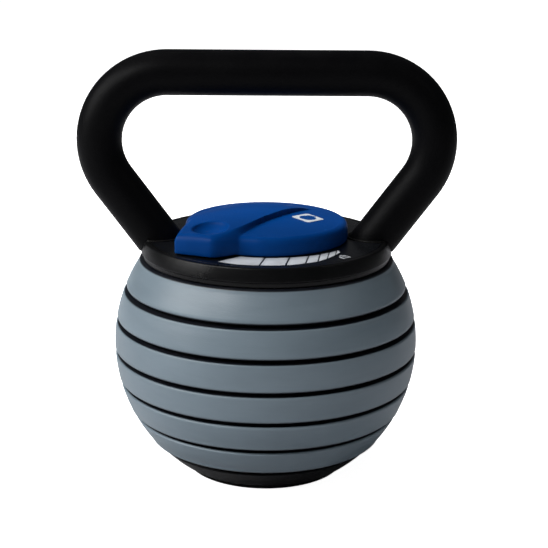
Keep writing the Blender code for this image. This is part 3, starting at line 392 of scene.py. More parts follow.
def cast_plate(number):
    bottom, top = plate_bottom[number], plate_top[number]
    shelf = bottom + COUNTERBORE_DEPTH
    outside = side_points(bottom, top, TOP_EDGE if number == 1 else PLAIN_EDGE)
    floor = top
    if number == 1:
        floor = top - POCKET_DEPTH
        pocket = ball_at(top) - TOP_EDGE - RIM
        wall = pocket - 0.4
        outside += [(pocket, top), (wall, top - 0.4), (wall, floor + POCKET_ROUND),
                    (wall - POCKET_ROUND, floor)]

    def profile_at(angle):
        bore = bore_at(number, angle)
        return outside + [(bore + CHAMFER, floor), (bore, floor - CHAMFER), (bore, shelf),
                          (COUNTERBORE, shelf), (COUNTERBORE, bottom + 0.6),
                          (COUNTERBORE + 0.6, bottom)]

    plate = loft(f"cast_plate_{number}", plate_angles(number), profile_at)
    sockets = pegs_at("socket", PEG + PEG_PLAY, bottom - 2.0, bottom + SOCKET_DEPTH, 0.3)
    combine(plate, sockets, "DIFFERENCE")
    if number > 1:
        combine(plate, pegs_at("peg", PEG, top - PEG_ROOT, top + PEG_HEIGHT, 1.0), "UNION")
    mark_painted_groove_shade(plate, number)
    return attach(plate, f"plate_{number}_body", "plate_enamel", f"plate_{number}")


for number in NUMBERS:
    tell(cast_plate(number))

# %% [markdown]
# ## The rubber rings between the plates
#
# A thin black ring is glued under each plate. It keeps the enamel from chipping and makes the
# dark line between two plates. Its lower face has three low ribs, which are part of the turned
# profile, because a bump in the material would be flat at the ring's outline.

# %% Turn the rings
RING_WIDTH = 16.0
RING_SIDES = 144
RIBS = 3
RIB_HEIGHT = 0.35
RIB_GAP = 0.9  # from a rib's foot to the edge of its third of the ring
RIB_SLOPE = 0.5


def turn_ring(number):
    low, high = low_high(f"pad_{number}")
    outer, inner = high[0], high[0] - RING_WIDTH
    pitch = RING_WIDTH / RIBS
    hollow = low[2] + RIB_HEIGHT
    corners = [(inner, high[2], 0.2), (inner, hollow, 0.2)]
    for rib in range(RIBS):
        start, end = inner + rib * pitch + RIB_GAP, inner + (rib + 1) * pitch - RIB_GAP
        corners += [(start, hollow, 0.1), (start + RIB_SLOPE, low[2], 0.3),
                    (end - RIB_SLOPE, low[2], 0.3), (end, hollow, 0.1)]
    corners += [(outer, hollow, 0.3), (outer, high[2], 0.2)]
    ring = turned(f"cushion_ring_{number}", corners, RING_SIDES)
    return attach(ring, f"plate_{number}_body", "black_rubber", f"pad_{number}")


rings = [turn_ring(number) for number in NUMBERS]
print("rings:", len(rings), "outer radii", [round(low_high(f"pad_{n}")[1][0], 1) for n in NUMBERS])

# %% [markdown]
# ## The base and its foot
#
# The base is a black moulded dish that closes the ball at the bottom and stands on a rubber
# foot. It is a shell with a steel cover, so the mesh is hollow as well. Two pegs on its deck
# centre the lowest plate.

# %% Mould the base
BASE_WALL = 3.5
BASE_INSET = 0.8  # of the base's side inside the ball
BASE_STEPS = 8
WELL = 24.0  # radius of the well that the core's lower end drops into
WELL_FLOOR = 8.8
WELL_WALL_BOTTOM = WELL_FLOOR - BASE_WALL + 0.6
base_low, base_high = low_high("base_shell")
deck = base_high[2] - PEG_HEIGHT
lip = base_low[2]
cover_top = low_high("base_cover")[1][2]


def base_side(height):
    return ball_at(height) - BASE_INSET


def mould_base():
    roof = deck - BASE_WALL
    upper, lower = deck - EDGE, lip + 0.5
    heights = [upper - (upper - lower) * i / BASE_STEPS for i in range(BASE_STEPS + 1)]
    foot = base_side(lip)
    inner_foot = foot - BASE_WALL
    inner_roof = base_side(roof) - 1.6 * BASE_WALL
    corners = [(0, WELL_FLOOR, 0), (WELL, WELL_FLOOR, 1.0), (WELL, deck, 0.6),
               (base_side(deck) - EDGE, deck, 0.6)]
    corners += [(base_side(height), height, 0) for height in heights]
    corners += [(foot - 0.5, lip, 0.2), (inner_foot, lip, 0.3), (inner_foot, cover_top + 0.3, 0.5),
                (inner_roof, roof, 1.0), (WELL + BASE_WALL, roof, 0.8),
                (WELL + BASE_WALL, WELL_WALL_BOTTOM, 0.5), (0, WELL_WALL_BOTTOM, 0)]
    base = turned("base_moulding", corners)
    combine(base, pegs_at("base_peg", PEG, roof + 1.0, deck + PEG_HEIGHT, 1.0), "UNION")
    return attach(base, "base", "black_plastic", "base_shell")


tell(mould_base())

# %% Mould the foot ring
FOOT_WIDTH = 14.0
FOOT_GROOVES = 4
GROOVE_DEPTH = 0.7


def mould_foot():
    low, high = low_high("base_foot")
    outer, inner = high[0], high[0] - FOOT_WIDTH
    corners = [(outer, high[2], 0.3), (inner, high[2], 0.3), (inner, low[2], 0.5)]
    for groove in range(1, FOOT_GROOVES):
        middle = inner + groove * FOOT_WIDTH / FOOT_GROOVES
        corners += [(middle - 0.6, low[2], 0.15), (middle - 0.3, low[2] + GROOVE_DEPTH, 0.1),
                    (middle + 0.3, low[2] + GROOVE_DEPTH, 0.1), (middle + 0.6, low[2], 0.15)]
    corners += [(outer - 0.9, low[2], 0.4), (outer, low[2] + 1.0, 0.4)]
    return attach(turned("foot_ring", corners, RING_SIDES), "base", "black_rubber", "base_foot")


tell(mould_foot())

# %% [markdown]
# ## The housing on the handle unit
#
# A low black moulding covers the steel carrier. Both legs of the handle come out of it, so it
# has two slanted round openings. They are cut with the same slanted round shape as the legs,
# a little larger, which gives the real curved edge of such an opening.

# %% The slanted legs as cutting tools
LEG_PLAY = 0.45
TOOL_REACH = 60.0
CARRIER_GAP = 0.3  # the tools end this far below the legs' feet, just over the steel carrier


def leg_tool(side, extra):
    """A round bar along one leg, thicker by extra, with its lower end cut level."""
    radius = TUBE + extra
    corners = [(0, -TOOL_REACH, 0), (radius, -TOOL_REACH, 0), (radius, TOOL_REACH, 0),
               (0, TOOL_REACH, 0)]
    piece = turned(f"leg_tool_{side}", corners, 72)
    tilt = Matrix.Rotation(side * LEAN, 4, "Y")
    foot = Matrix.Translation((side * leg_foot_x * MM, 0.0, leg_foot_z * MM))
    piece.data.transform(foot @ tilt)
    way, level = tilt.to_3x3() @ Vector((0, 0, 1)), (leg_foot_z - CARRIER_GAP) * MM
    for vert in piece.data.vertices:
        if vert.co.z < level:
            vert.co += way * ((level - vert.co.z) / way.z)
    return piece


def cut_legs(piece, play):
    combine(piece, [leg_tool(side, play) for side in (-1, 1)], "DIFFERENCE")


# %% Mould the housing
HOUSING_SIDES = 240
HOUSING_WALL = 2.6
SHADOW_GAP = 1.7  # its lowest part steps back by this much
SHADOW_GAP_TOP = housing_bottom + 2.6
HOLE = DIAL - 8.0  # radius of the opening under the dial
label_low, label_high = low_high("scale_ring")
LABEL_OUTER = HOUSING_TOP_RADIUS - 3.8
SEAT = label_low[2] - 0.3  # of the printed film


def mould_housing():
    inner_top = SEAT - HOUSING_WALL
    corners = [(HOLE, SEAT, 0.4), (LABEL_OUTER + 0.3, SEAT, 0.1),
               (LABEL_OUTER + 0.3, housing_top, 0.35), (HOUSING_TOP_RADIUS, housing_top, 1.3),
               (HOUSING - 0.3, SHADOW_GAP_TOP + 0.8, 0.8),
               (HOUSING - SHADOW_GAP, SHADOW_GAP_TOP, 0.4),
               (HOUSING - SHADOW_GAP, housing_bottom, 0.3),
               (HOUSING - HOUSING_WALL, housing_bottom, 0.4),
               (HOUSING_TOP_RADIUS - HOUSING_WALL, inner_top, 0.8), (HOLE, inner_top, 0.4)]
    housing = turned("housing_moulding", corners, HOUSING_SIDES)
    cut_legs(housing, LEG_PLAY)
    return attach(housing, "handle_body", "housing_coat", "top_housing")


tell(mould_housing())

# %% Lay the printed film on the housing


def lay_film():
    inner = HOLE + 1.0
    corners = [(inner, label_low[2], 0.1), (inner, label_high[2], 0.15),
               (LABEL_OUTER, label_high[2], 0.15), (LABEL_OUTER, label_low[2], 0.1)]
    film = turned("scale_film", corners, HOUSING_SIDES)
    cut_legs(film, LEG_PLAY + 0.6)
    return attach(film, "handle_body", "label_film", "scale_ring")


tell(lay_film())

# %% [markdown]
# ## The scale
#
# White blocks on the film show how far the dial has been turned: one block for each step,
# with slanted lines between them. The print is a hair thick, and it is made as thin solid
# blocks on the film, so that it stays sharp however close one looks.

# %% Print the blocks of the scale
INK_BOTTOM = label_high[2] - 0.05
INK_TOP = label_high[2] + 0.18
SCALE_INNER = [(-26.0, 54.3), (50.0, 57.2)]  # degrees from the front, radius
SCALE_OUTER = [(-26.0, 70.5), (-16.0, 72.5), (10.0, 72.5), (19.0, 71.0), (26.0, 70.0),
               (33.0, 67.0), (39.0, 64.5), (47.0, 61.5), (52.0, 60.5)]
SEPARATORS = [(-19.0, -26.0), (-1.9, -4.3), (14.0, 8.4), (27.0, 18.8), (35.5, 26.0),
              (43.0, 33.5), (50.0, 42.0), (52.0, 49.0)]  # inner and outer angle of each line
LINE = 0.55  # half width of a line
BLOCK_STEPS = 10


def front_polar(radius, degrees):
    """A point on the housing, with the angle counted from the front towards the right."""
    turn = math.radians(degrees)
    return radius * math.sin(turn), -radius * math.cos(turn)


def along(table, degrees):
    """The radius that a table of (degrees, radius) gives at an angle."""
    return float(np.interp(degrees, [row[0] for row in table], [row[1] for row in table]))


def ink(name, outline):
    """A thin flat piece of print with any outline."""
    count = len(outline)
    points = [(x, y, z) for z in (INK_BOTTOM, INK_TOP) for x, y in outline]
    faces = [tuple(reversed(range(count))), tuple(range(count, 2 * count))]
    faces += [(i, (i + 1) % count, count + (i + 1) % count, count + i) for i in range(count)]
    return attach(mesh_piece(name, points, faces), "handle_body", "label_film")


def print_block(index):
    """One block, from one line to the next: out along its inner edge, back along its outer."""
    outline = []
    shares = [step / BLOCK_STEPS for step in range(BLOCK_STEPS + 1)]
    for edge, table, order in ((0, SCALE_INNER, shares), (1, SCALE_OUTER, shares[::-1])):
        start, end = SEPARATORS[index][edge], SEPARATORS[index + 1][edge]
        for share in order:
            angle = start + (end - start) * share
            radius = along(table, angle)
            nudge = math.degrees(LINE / radius)
            outline.append(front_polar(radius, max(start + nudge, min(end - nudge, angle))))
    return ink(f"scale_block_{index + 1}", outline)


scale_blocks = [print_block(index) for index in range(len(SEPARATORS) - 1)]
print("blocks on the scale:", len(scale_blocks))

# %% Print the open lock past the last block
LOCK_PLACE = front_polar(70.8, 42.5)
LOCK_TURN = math.radians(38.0)
LOCK_BODY = [(-3.0, -2.4), (3.0, -2.4), (3.0, 1.8), (-3.0, 1.8), (-3.0, 1.0), (2.2, 1.0),
             (2.2, -1.6), (-2.2, -1.6), (-2.2, 1.0), (-3.0, 1.0)]


def arch(half_width, height, turns):
    """Points on the round top of the shackle."""
    return [(half_width * math.cos(a) + 0.8, 2.4 + height * math.sin(a)) for a in turns]


def print_lock(label, outline):
    """One of the lock's two outlines: the dial is unlocked past the scale."""
    cos, sin = math.cos(LOCK_TURN), math.sin(LOCK_TURN)
    return ink(f"scale_lock_{label}", [(LOCK_PLACE[0] + x * cos - y * sin,
                                        LOCK_PLACE[1] + x * sin + y * cos) for x, y in outline])


half_turn = np.linspace(0.0, math.pi, 14)
shackle = [(3.0, 1.8), *arch(2.2, 2.4, half_turn), *arch(1.5, 1.7, half_turn[::-1]), (2.3, 1.8)]
lock_lines = [print_lock("body", LOCK_BODY), print_lock("shackle", shackle)]
print("lock lines:", [line.name for line in lock_lines])

# %% [markdown]
# ## The handle
#
# The handle is one steel tube with two wide bends and two legs that lean outwards. The feet are
# cut level. A curve with a bevel could draw it. The mesh here is made ring by ring along the
# route, because the level cut then costs nothing: the first and the last ring slide along the
# leg until they lie flat.

# %% The route of the tube
AROUND = 64
WALL = 3.0
LEG_STEPS = 10
BEND_STEPS = 30
BAR_STEPS = 8  # in each half


def handle_route():
    """(point, direction) along the right half, from the leg's foot to the middle of the bar."""
    lean = Vector((math.sin(LEAN), 0, math.cos(LEAN)))
    foot = Vector((leg_foot_x, 0, leg_foot_z))
    bend_start = Vector((bend_x + BEND * math.cos(LEAN), 0, bend_z - BEND * math.sin(LEAN)))
    route = [(foot.lerp(bend_start, i / LEG_STEPS), lean) for i in range(LEG_STEPS)]
    for step in range(BEND_STEPS + 1):
        turn = -LEAN + (math.pi / 2 + LEAN) * step / BEND_STEPS
        spot = Vector((bend_x + BEND * math.cos(turn), 0, bend_z + BEND * math.sin(turn)))
        route.append((spot, Vector((-math.sin(turn), 0, math.cos(turn)))))
    to_left = Vector((-1, 0, 0))
    return route + [(Vector((bend_x * (1 - i / BAR_STEPS), 0, bar_z)), to_left)
                    for i in range(1, BAR_STEPS)]


def whole_route():
    right = handle_route()
    middle = [(Vector((0, 0, bar_z)), Vector((-1, 0, 0)))]
    left = [(Vector((-p.x, 0, p.z)), Vector((d.x, 0, -d.z))) for p, d in reversed(right)]
    return right + middle + left


# %% Bend the tube


def tube_ring(spot, way, radius, level):
    """One ring of points; a level ring slides along the leg to the foot's height."""
    ring = []
    side = Vector((0, 1, 0))
    out = side.cross(way).normalized()
    for index in range(AROUND):
        turn = 2 * math.pi * index / AROUND
        point = spot + (side * math.cos(turn) + out * math.sin(turn)) * radius
        if level:
            point = point + way * ((leg_foot_z - point.z) / way.z)
        ring.append(tuple(point))
    return ring


def bend_handle():
    """The tube's outside and its bore, without the rings that the level ones would cross."""
    route = whole_route()
    last = len(route) - 1
    kept = [(*route[i], i in (0, last)) for i in range(last + 1) if i not in (1, last - 1)]
    outer = [tube_ring(spot, way, TUBE, level) for spot, way, level in kept]
    inner = [tube_ring(spot, way, TUBE - WALL, level) for spot, way, level in kept]
    rings = outer + inner[::-1]
    points = [point for ring in rings for point in ring]
    tube = mesh_piece("handle_tube", points, ring_faces(len(rings), AROUND), 45.0)
    return attach(tube, "handle_body", "handle_coat", "handle")


tell(bend_handle())

# %% [markdown]
# ## The sealing beads round the legs
#
# Where each leg leaves the housing, a thin rubber bead closes the gap. It lies flat on top of
# the housing, round the inner side of the leg, and dies away in the rounded edge. Each line
# along the leg is followed down until it meets the housing, which gives the curve point by
# point, and only the stretch on top is kept.

# %% Find the curve where a leg meets the housing
BEAD = 0.95  # radius of a bead
BEAD_SIDES = 14
BEAD_TAPER = 6  # rings over which its ends grow thin
SEAM_POINTS = 240
leg_at_top = leg_foot_x + (housing_top - leg_foot_z) * math.tan(LEAN)


def seam_point(side, turn):
    """Where one line along the leg's surface meets the top of the housing."""
    tilt = Matrix.Rotation(side * LEAN, 3, "Y")
    out = tilt @ Vector((math.cos(turn), math.sin(turn), 0))
    start = Vector((side * leg_foot_x, 0, leg_foot_z)) + out * (TUBE + 0.3)
    way = tilt @ Vector((0, 0, 1))
    spot = start + way * ((housing_top - start.z) / way.z)
    flat = Vector((out.x, out.y, 0)).normalized()
    return spot + flat * 0.45 + Vector((0, 0, 0.05))


def bead_route(side):
    """The seam's points on the housing's flat top, in order round the leg."""
    begin = 0 if side > 0 else math.pi
    route = [seam_point(side, 2 * math.pi * i / SEAM_POINTS + begin) for i in range(SEAM_POINTS)]
    route = [p for p in route if math.hypot(p.x, p.y) < HOUSING_TOP_RADIUS - 1.2]
    return sorted(route, key=lambda p: math.atan2(p.y, side * (leg_at_top - side * p.x)))


# %% Lay the beads


def lay_bead(side, label):
    route = bead_route(side)
    last = len(route) - 1
    points = []
    for index, spot in enumerate(route):
        way = (route[min(index + 1, last)] - route[max(index - 1, 0)]).normalized()
        out = way.cross(Vector((0, 0, 1))).normalized()
        end = min(1.0, min(index, last - index) / BEAD_TAPER)
        radius = BEAD * math.sqrt(max(0.03, 1 - (1 - end) ** 2))
        for step in range(BEAD_SIDES):
            turn = 2 * math.pi * step / BEAD_SIDES
            spoke = out * math.cos(turn) + Vector((0, 0, math.sin(turn)))
            points.append(tuple(spot + spoke * radius))
    faces = ring_faces(len(route), BEAD_SIDES, closed=False)
    faces += [tuple(ring * BEAD_SIDES + i for i in range(BEAD_SIDES)) for ring in (0, last)]
    bead = mesh_piece(f"leg_bead_{label}", points, faces, 60.0)
    return attach(bead, "handle_body", "black_rubber")


tell(lay_bead(-1, "left"))
tell(lay_bead(1, "right"))

# %% [markdown]
# ## The dial
#
# The dial is a moulded disc with a raised, swept half that runs out into a tip. The tip points
# at the scale, and a finger fits into the hollow at its end. Sculpting it would be quick but
# never exact. The top is instead a height over a plan: one smooth dome for the low half,
# another for the raised half, a sloped step between them, a rounded edge all round and a
# hollow. The mesh follows the plan in rings, so it closes cleanly with its wall and underside.

# %% The plan of the dial
TIP = [(-58.2, -48.6), (-32.9, -59.7)]
TIP_SIDE = (-17.6, -49.8)
TIP_BACK = [(-51.6, -11.9), (-53.9, -25.0), (-56.7, -37.5)]
LOW_EDGE = [(-21.0, -75.0), (-17.5, -49.8), (-15.8, -44.4), (-9.5, -33.2), (-1.4, -17.7),
            (7.0, -5.2), (15.6, 6.8), (23.4, 15.6), (33.0, 22.0), (45.5, 26.5), (80.0, 38.0)]
HIGH_EDGE = [(-41.0, -75.0), (-33.0, -55.0), (-25.5, -48.0), (-15.2, -38.8), (-1.6, -20.5),
             (14.4, 0.6), (22.4, 11.2), (30.5, 19.4), (44.0, 28.4), (80.0, 44.0)]
FAR_SIDE = [(80.0, 90.0), (-90.0, 90.0), (-90.0, -75.0)]


def smooth_line(corners, passes=3):
    """Cuts the corners of an open line a few times, which rounds it."""
    line = [Vector(c) for c in corners]
    for _ in range(passes):
        cut = [line[0]]
        for a, b in zip(line, line[1:]):
            cut += [a.lerp(b, 0.25), a.lerp(b, 0.75)]
        line = cut + [line[-1]]
    return np.array([tuple(v) for v in line])


def rim_outline():
    """The dial's outline from above, anticlockwise, as an array of points."""
    start = math.degrees(math.atan2(TIP_SIDE[1], TIP_SIDE[0])) + 3.0
    circle = [(DIAL * math.cos(math.radians(a)), DIAL * math.sin(math.radians(a)))
              for a in np.linspace(start, 190.0, 120)]
    corner_a, corner_b = np.array(TIP)
    split = corner_b * 0.7 + corner_a * 0.3
    lean_in = smooth_line([circle[-1], *TIP_BACK, TIP[0]])
    across = smooth_line([lean_in[-4], corner_a, split])
    front = smooth_line([split, corner_b, TIP_SIDE])
    join = smooth_line([front[-4], TIP_SIDE, circle[4]], 2)
    return np.vstack([circle[5:], lean_in[1:-4], across[1:-1], front[1:-4], join[1:-1]])


OUTLINE = rim_outline()
print("outline points:", len(OUTLINE), "box", OUTLINE.min(0).round(1), OUTLINE.max(0).round(1))

# %% Distances in the plan


def distance_to(line, x, y, closed=False):
    """Distance of every point from a line of points."""
    ends = np.roll(line, -1, axis=0) if closed else line[1:]
    starts = line if closed else line[:-1]
    best = np.full(np.shape(x), np.inf)
    for (ax, ay), (bx, by) in zip(starts, ends):
        dx, dy = bx - ax, by - ay
        length = max(dx * dx + dy * dy, 1e-12)
        share = np.clip(((x - ax) * dx + (y - ay) * dy) / length, 0, 1)
        best = np.minimum(best, np.hypot(x - ax - share * dx, y - ay - share * dy))
    return best


def inside(line, x, y):
    """Which points lie inside a closed line."""
    found = np.zeros(np.shape(x), bool)
    for (ax, ay), (bx, by) in zip(line, np.roll(line, -1, axis=0)):
        if ay != by:
            crossing = (ay > y) != (by > y)
            found ^= crossing & (x < (bx - ax) * (y - ay) / (by - ay) + ax)
    return found


# %% The height of the dial's top
CROWN = 19.1  # height of the raised half's dome over the dial's underside
DOME = 15.3  # the same for the low half
LOW_FALL = 0.0015  # how fast a dome falls away with the square of the distance
TIP_FALL, BACK_FALL, CROSS_FALL = 0.00112, 0.0045, 0.0038
TIP_X, TIP_Y = -0.70, -0.71  # the way to the tip
SHOULDER = 4.8  # width of the rounded edge
SHOULDER_DROP = 4.5
HOLLOW_PLACE = (-36.0, -40.2)
HOLLOW_SIZE = (11.3, 11.5)
HOLLOW_DEPTH = 5.6
HOLLOW_CURVE = 1.15  # over 1 makes its sides less steep
HOLLOW_RIM, HOLLOW_RIM_WIDTH = 0.35, 0.07  # depth, and width as a share of the hollow
low_line, high_line = smooth_line(LOW_EDGE), smooth_line(HIGH_EDGE)


def ease(value):
    """A soft start and end for a share from 0 to 1."""
    value = np.clip(value, 0, 1)
    return value * value * (3 - 2 * value)


def step_share(x, y):
    """0 on the low half, 1 on the raised half, and a slope between the two edges."""
    above_low = inside(np.vstack([low_line, FAR_SIDE]), x, y)
    above_high = inside(np.vstack([high_line, FAR_SIDE]), x, y)
    from_low, from_high = distance_to(low_line, x, y), distance_to(high_line, x, y)
    slope = ease(from_low / np.maximum(from_low + from_high, 1e-6))
    return np.where(above_high, 1.0, np.where(above_low, slope, 0.0))


def dial_height(x, y):
    """Height of the dial's top over its underside."""
    x, y = np.asarray(x, float), np.asarray(y, float)
    radius = np.minimum(np.hypot(x, y), DIAL - SHOULDER)
    low = DOME - LOW_FALL * radius**2
    along_tip, across_tip = TIP_X * x + TIP_Y * y, TIP_X * y - TIP_Y * x
    fall = np.where(along_tip > 0, TIP_FALL, BACK_FALL)
    high = CROWN - fall * along_tip**2 - CROSS_FALL * across_tip**2
    gain = (high - low + np.sqrt((high - low) ** 2 + 0.25)) / 2  # never below the low half
    top = low + gain * step_share(x, y)
    out = np.hypot((x - HOLLOW_PLACE[0]) / HOLLOW_SIZE[0], (y - HOLLOW_PLACE[1]) / HOLLOW_SIZE[1])
    top -= HOLLOW_DEPTH * np.sqrt(np.clip(1.0 - out**2, 0, 1)) ** HOLLOW_CURVE
    top -= HOLLOW_RIM * np.exp(-(((out - 1.0) / HOLLOW_RIM_WIDTH) ** 2))
    edge = distance_to(OUTLINE, x, y, closed=True)
    share = np.clip((SHOULDER - edge) / SHOULDER, 0, 1)
    return top - SHOULDER_DROP * (1 - np.sqrt(np.maximum(1 - share**2, 0)))


print("crown of the dial:", round(float(dial_height(-14.0, -15.0)), 2), "mm over its underside")

# %% Build the dial ring by ring
FINE, COARSE = 0.45, 1.0  # degrees between spokes, at the tip and elsewhere
TIP_FROM, TIP_TO, FULL_TURN = 196.0, 262.0, 556.0  # degrees
FLAT_RINGS, SHOULDER_RINGS = 91, 14
TIP_LIFT = 0.7  # how much higher the tip's underside is than the disc's
LIP_INSET = 3.0  # from the dial's edge to the hollow in its underside
HOLLOW_ROOF = 5.7  # height of that hollow


def outline_reach(angle):
    """How far the outline is from the middle, along one spoke."""
    way = np.array([math.cos(math.radians(angle)), math.sin(math.radians(angle))])
    best = 0.0
    for a, b in zip(OUTLINE, np.roll(OUTLINE, -1, axis=0)):
        side = b - a
        cross = way[0] * side[1] - way[1] * side[0]
        if abs(cross) > 1e-12:
            reach = (a[0] * side[1] - a[1] * side[0]) / cross
            share = (a[0] * way[1] - a[1] * way[0]) / cross
            if reach > 0 and -1e-9 <= share <= 1 + 1e-9:
                best = max(best, reach)
    return best


def dial_rows(angles):
    """Rings of points: out over the top, down the wall, and in under the dial."""
    reach = np.array([outline_reach(a) for a in angles])
    turn = np.radians(angles)

    def row(radius, height):
        return np.stack([radius * np.cos(turn), radius * np.sin(turn),
                         np.broadcast_to(height, turn.shape)], axis=1)

    flat = np.linspace(0.0, 0.9, FLAT_RINGS + 1)[1:]
    edge = 1 - 0.1 * np.cos(np.linspace(0.0, math.pi / 2, SHOULDER_RINGS + 1))[1:]
    rows = []
    for share in np.concatenate([flat, edge]):
        x, y = share * reach * np.cos(turn), share * reach * np.sin(turn)
        rows.append(row(share * reach, dial_bottom + dial_height(x, y)))
    rim = rows[-1][:, 2]
    foot = dial_bottom + TIP_LIFT * np.clip((reach - DIAL) / 2.0, 0, 1)
    rows += [row(reach, rim * (1 - share) + (foot + 0.5) * share) for share in (0.35, 0.7)]
    rows += [row(reach - inset, foot + lift)
             for inset, lift in ((0.0, 0.5), (0.15, 0.15), (0.5, 0.0))]
    rows += [row(DIAL - LIP_INSET, foot), row(DIAL - LIP_INSET - 0.3, dial_bottom + HOLLOW_ROOF)]
    return rows


def mould_dial():
    angles = [*np.arange(TIP_FROM, TIP_TO, FINE), *np.arange(TIP_TO, FULL_TURN, COARSE)]
    rows, count = dial_rows(angles), len(angles)
    points = [(0.0, 0.0, dial_bottom + float(dial_height(0.0, 0.0))),
              *np.vstack(rows).tolist(), (0.0, 0.0, dial_bottom + HOLLOW_ROOF)]
    faces = [(0, 1 + i, 1 + (i + 1) % count) for i in range(count)]
    faces += [tuple(1 + p for p in face) for face in ring_faces(len(rows), count, closed=False)]
    last = 1 + (len(rows) - 1) * count
    faces += [(last + (i + 1) % count, last + i, len(points) - 1) for i in range(count)]
    dial = mesh_piece("dial_moulding", points, faces, 55.0)
    return attach(dial, "dial_body", "dial_plastic", "dial")


tell(mould_dial())

# %% [markdown]
# ## The mark on the dial
#
# A small white tile sits on the low half and shows which way to turn. It carries a plain round
# arrow. The tile is a thin patch that follows the dial's dome, and the arrow is a thinner patch
# on top of it, cut from the same dome.

# %% Lay a patch on the dome
TILE = [(15.6, -8.0), (26.5, -19.3), (37.4, -8.0), (26.5, 3.3)]
TILE_CORNER = 1.9
PATCH_DEPTH = 0.4
TILE_LIFT, ARROW_LIFT = 0.22, 0.32  # over the dome
LONGEST = 1.6  # edge that a patch is left with


def patch(name, outline, lift, slot):
    """A thin piece with this outline that follows the dial's top."""
    shape = bmesh.new()
    shape.faces.new([shape.verts.new((x, y, 0.0)) for x, y in outline])
    bmesh.ops.triangulate(shape, faces=shape.faces[:])
    for _ in range(3):
        longest = [e for e in shape.edges if e.calc_length() > LONGEST]
        if longest:
            bmesh.ops.subdivide_edges(shape, edges=longest, cuts=1)
            bmesh.ops.triangulate(shape, faces=shape.faces[:])
    x, y = np.array([v.co.xy for v in shape.verts]).T
    for vert, top in zip(shape.verts, dial_bottom + dial_height(x, y) + lift):
        vert.co.z = top
    lower = bmesh.ops.extrude_face_region(shape, geom=shape.faces[:])
    for vert in [g for g in lower["geom"] if isinstance(g, bmesh.types.BMVert)]:
        vert.co.z -= PATCH_DEPTH
    mesh = bpy.data.meshes.new(name)
    shape.to_mesh(mesh)
    shape.free()
    mesh.transform(Matrix.Scale(MM, 4))
    piece = place_object(name, mesh)
    soften(piece)
    return attach(piece, "dial_body", slot)


tile_outline = rounded([(x, y, TILE_CORNER) for x, y in TILE])
tile = patch("dial_tile", tile_outline, TILE_LIFT, "label_film")
tell(tile)

# %% Cut the round arrow
ARROW_MIDDLE = (26.5, -8.0)
ARROW_OUTER, ARROW_INNER = 5.4, 3.5
BARB = 1.6  # how far the arrow's head stands out at each side


def round_arrow():
    """Outline of a three-quarter ring that ends in an arrow head."""
    sweep = np.radians(np.linspace(150.0, 400.0, 28))
    end = sweep[-1]
    way = np.array([-math.sin(end), math.cos(end)])
    out = np.array([math.cos(end), math.sin(end)])
    ring = [(ARROW_OUTER * math.cos(a), ARROW_OUTER * math.sin(a)) for a in sweep]
    head = [out * (ARROW_OUTER + BARB), out * 4.45 + way * 4.0, out * (ARROW_INNER - BARB)]
    back = [(ARROW_INNER * math.cos(a), ARROW_INNER * math.sin(a)) for a in sweep[::-1]]
    return [(x + ARROW_MIDDLE[0], y + ARROW_MIDDLE[1]) for x, y in [*ring, *head, *back]]


tell(patch("dial_arrow", round_arrow(), ARROW_LIFT, "dial_plastic"))

# %% [markdown]
# ## Finishes: how the node groups work
#
# Several finishes share an effect: every painted or moulded surface has a fine grain, every
# edge gets rubbed, and dust settles on what faces up. Each effect is one node group with named
# inputs, built once and used with other values in each material. Copying the same nodes into
# every material would work too, but then a change would have to be made ten times.

# %% Short names for making nodes


def add(tree, kind, inputs=None, **settings):
    """A node with its settings; an input is a value or another node's socket."""
    made = tree.nodes.new(kind)
    for name, value in settings.items():
        setattr(made, name, value)
    for name, value in (inputs or {}).items():
        if isinstance(value, bpy.types.NodeSocket):
            tree.links.new(value, made.inputs[name])
        else:
            made.inputs[name].default_value = value
    return made


def maths(tree, operation, first, second=0.0, clamp=False):
    made = add(tree, "ShaderNodeMath", {0: first, 1: second}, operation=operation, use_clamp=clamp)
    return made.outputs[0]


def spread(tree, value, from_low, from_high, to_low=0.0, to_high=1.0):
    """Maps a range of values onto another, and keeps to its ends."""
    inputs = {"Value": value, "From Min": from_low, "From Max": from_high,
              "To Min": to_low, "To Max": to_high}
    return add(tree, "ShaderNodeMapRange", inputs).outputs["Result"]


def blend_colours(tree, share, first, second):
    """Mixes two colours; one that is given as three numbers gets an alpha of 1."""
    first, second = [(*c, 1) if isinstance(c, tuple) else c for c in (first, second)]
    made = add(tree, "ShaderNodeMix", {0: share, 6: first, 7: second}, data_type="RGBA")
    return made.outputs[2]


def noise(tree, place, scale, detail=3.0, roughness=0.5):
    inputs = {"Vector": place, "Scale": scale, "Detail": detail, "Roughness": roughness}
    return add(tree, "ShaderNodeTexNoise", inputs).outputs["Fac"]


def stretched(tree, place, scale, rotation=(0.0, 0.0, 0.0)):
    inputs = {"Vector": place, "Rotation": rotation, "Scale": scale}
    return add(tree, "ShaderNodeMapping", inputs).outputs["Vector"]


def new_group(name, values, outputs):
    """A node group with a place, some values and its outputs, and its two end nodes."""
    group = bpy.data.node_groups.new(name, "ShaderNodeTree")
    group.interface.new_socket("Place", in_out="INPUT", socket_type="NodeSocketVector")
    for label, value in values.items():
        socket = group.interface.new_socket(label, in_out="INPUT", socket_type="NodeSocketFloat")
        socket.default_value = value
    for label in outputs:
        group.interface.new_socket(label, in_out="OUTPUT", socket_type="NodeSocketFloat")
    return group, group.nodes.new("NodeGroupInput").outputs, group.nodes.new("NodeGroupOutput")


def give(group, end, label, value):
    """Joins a value to one of the group's outputs."""
    group.links.new(value, end.inputs[label])
    print(group.name, "gives", label, "from", len(group.nodes), "nodes")


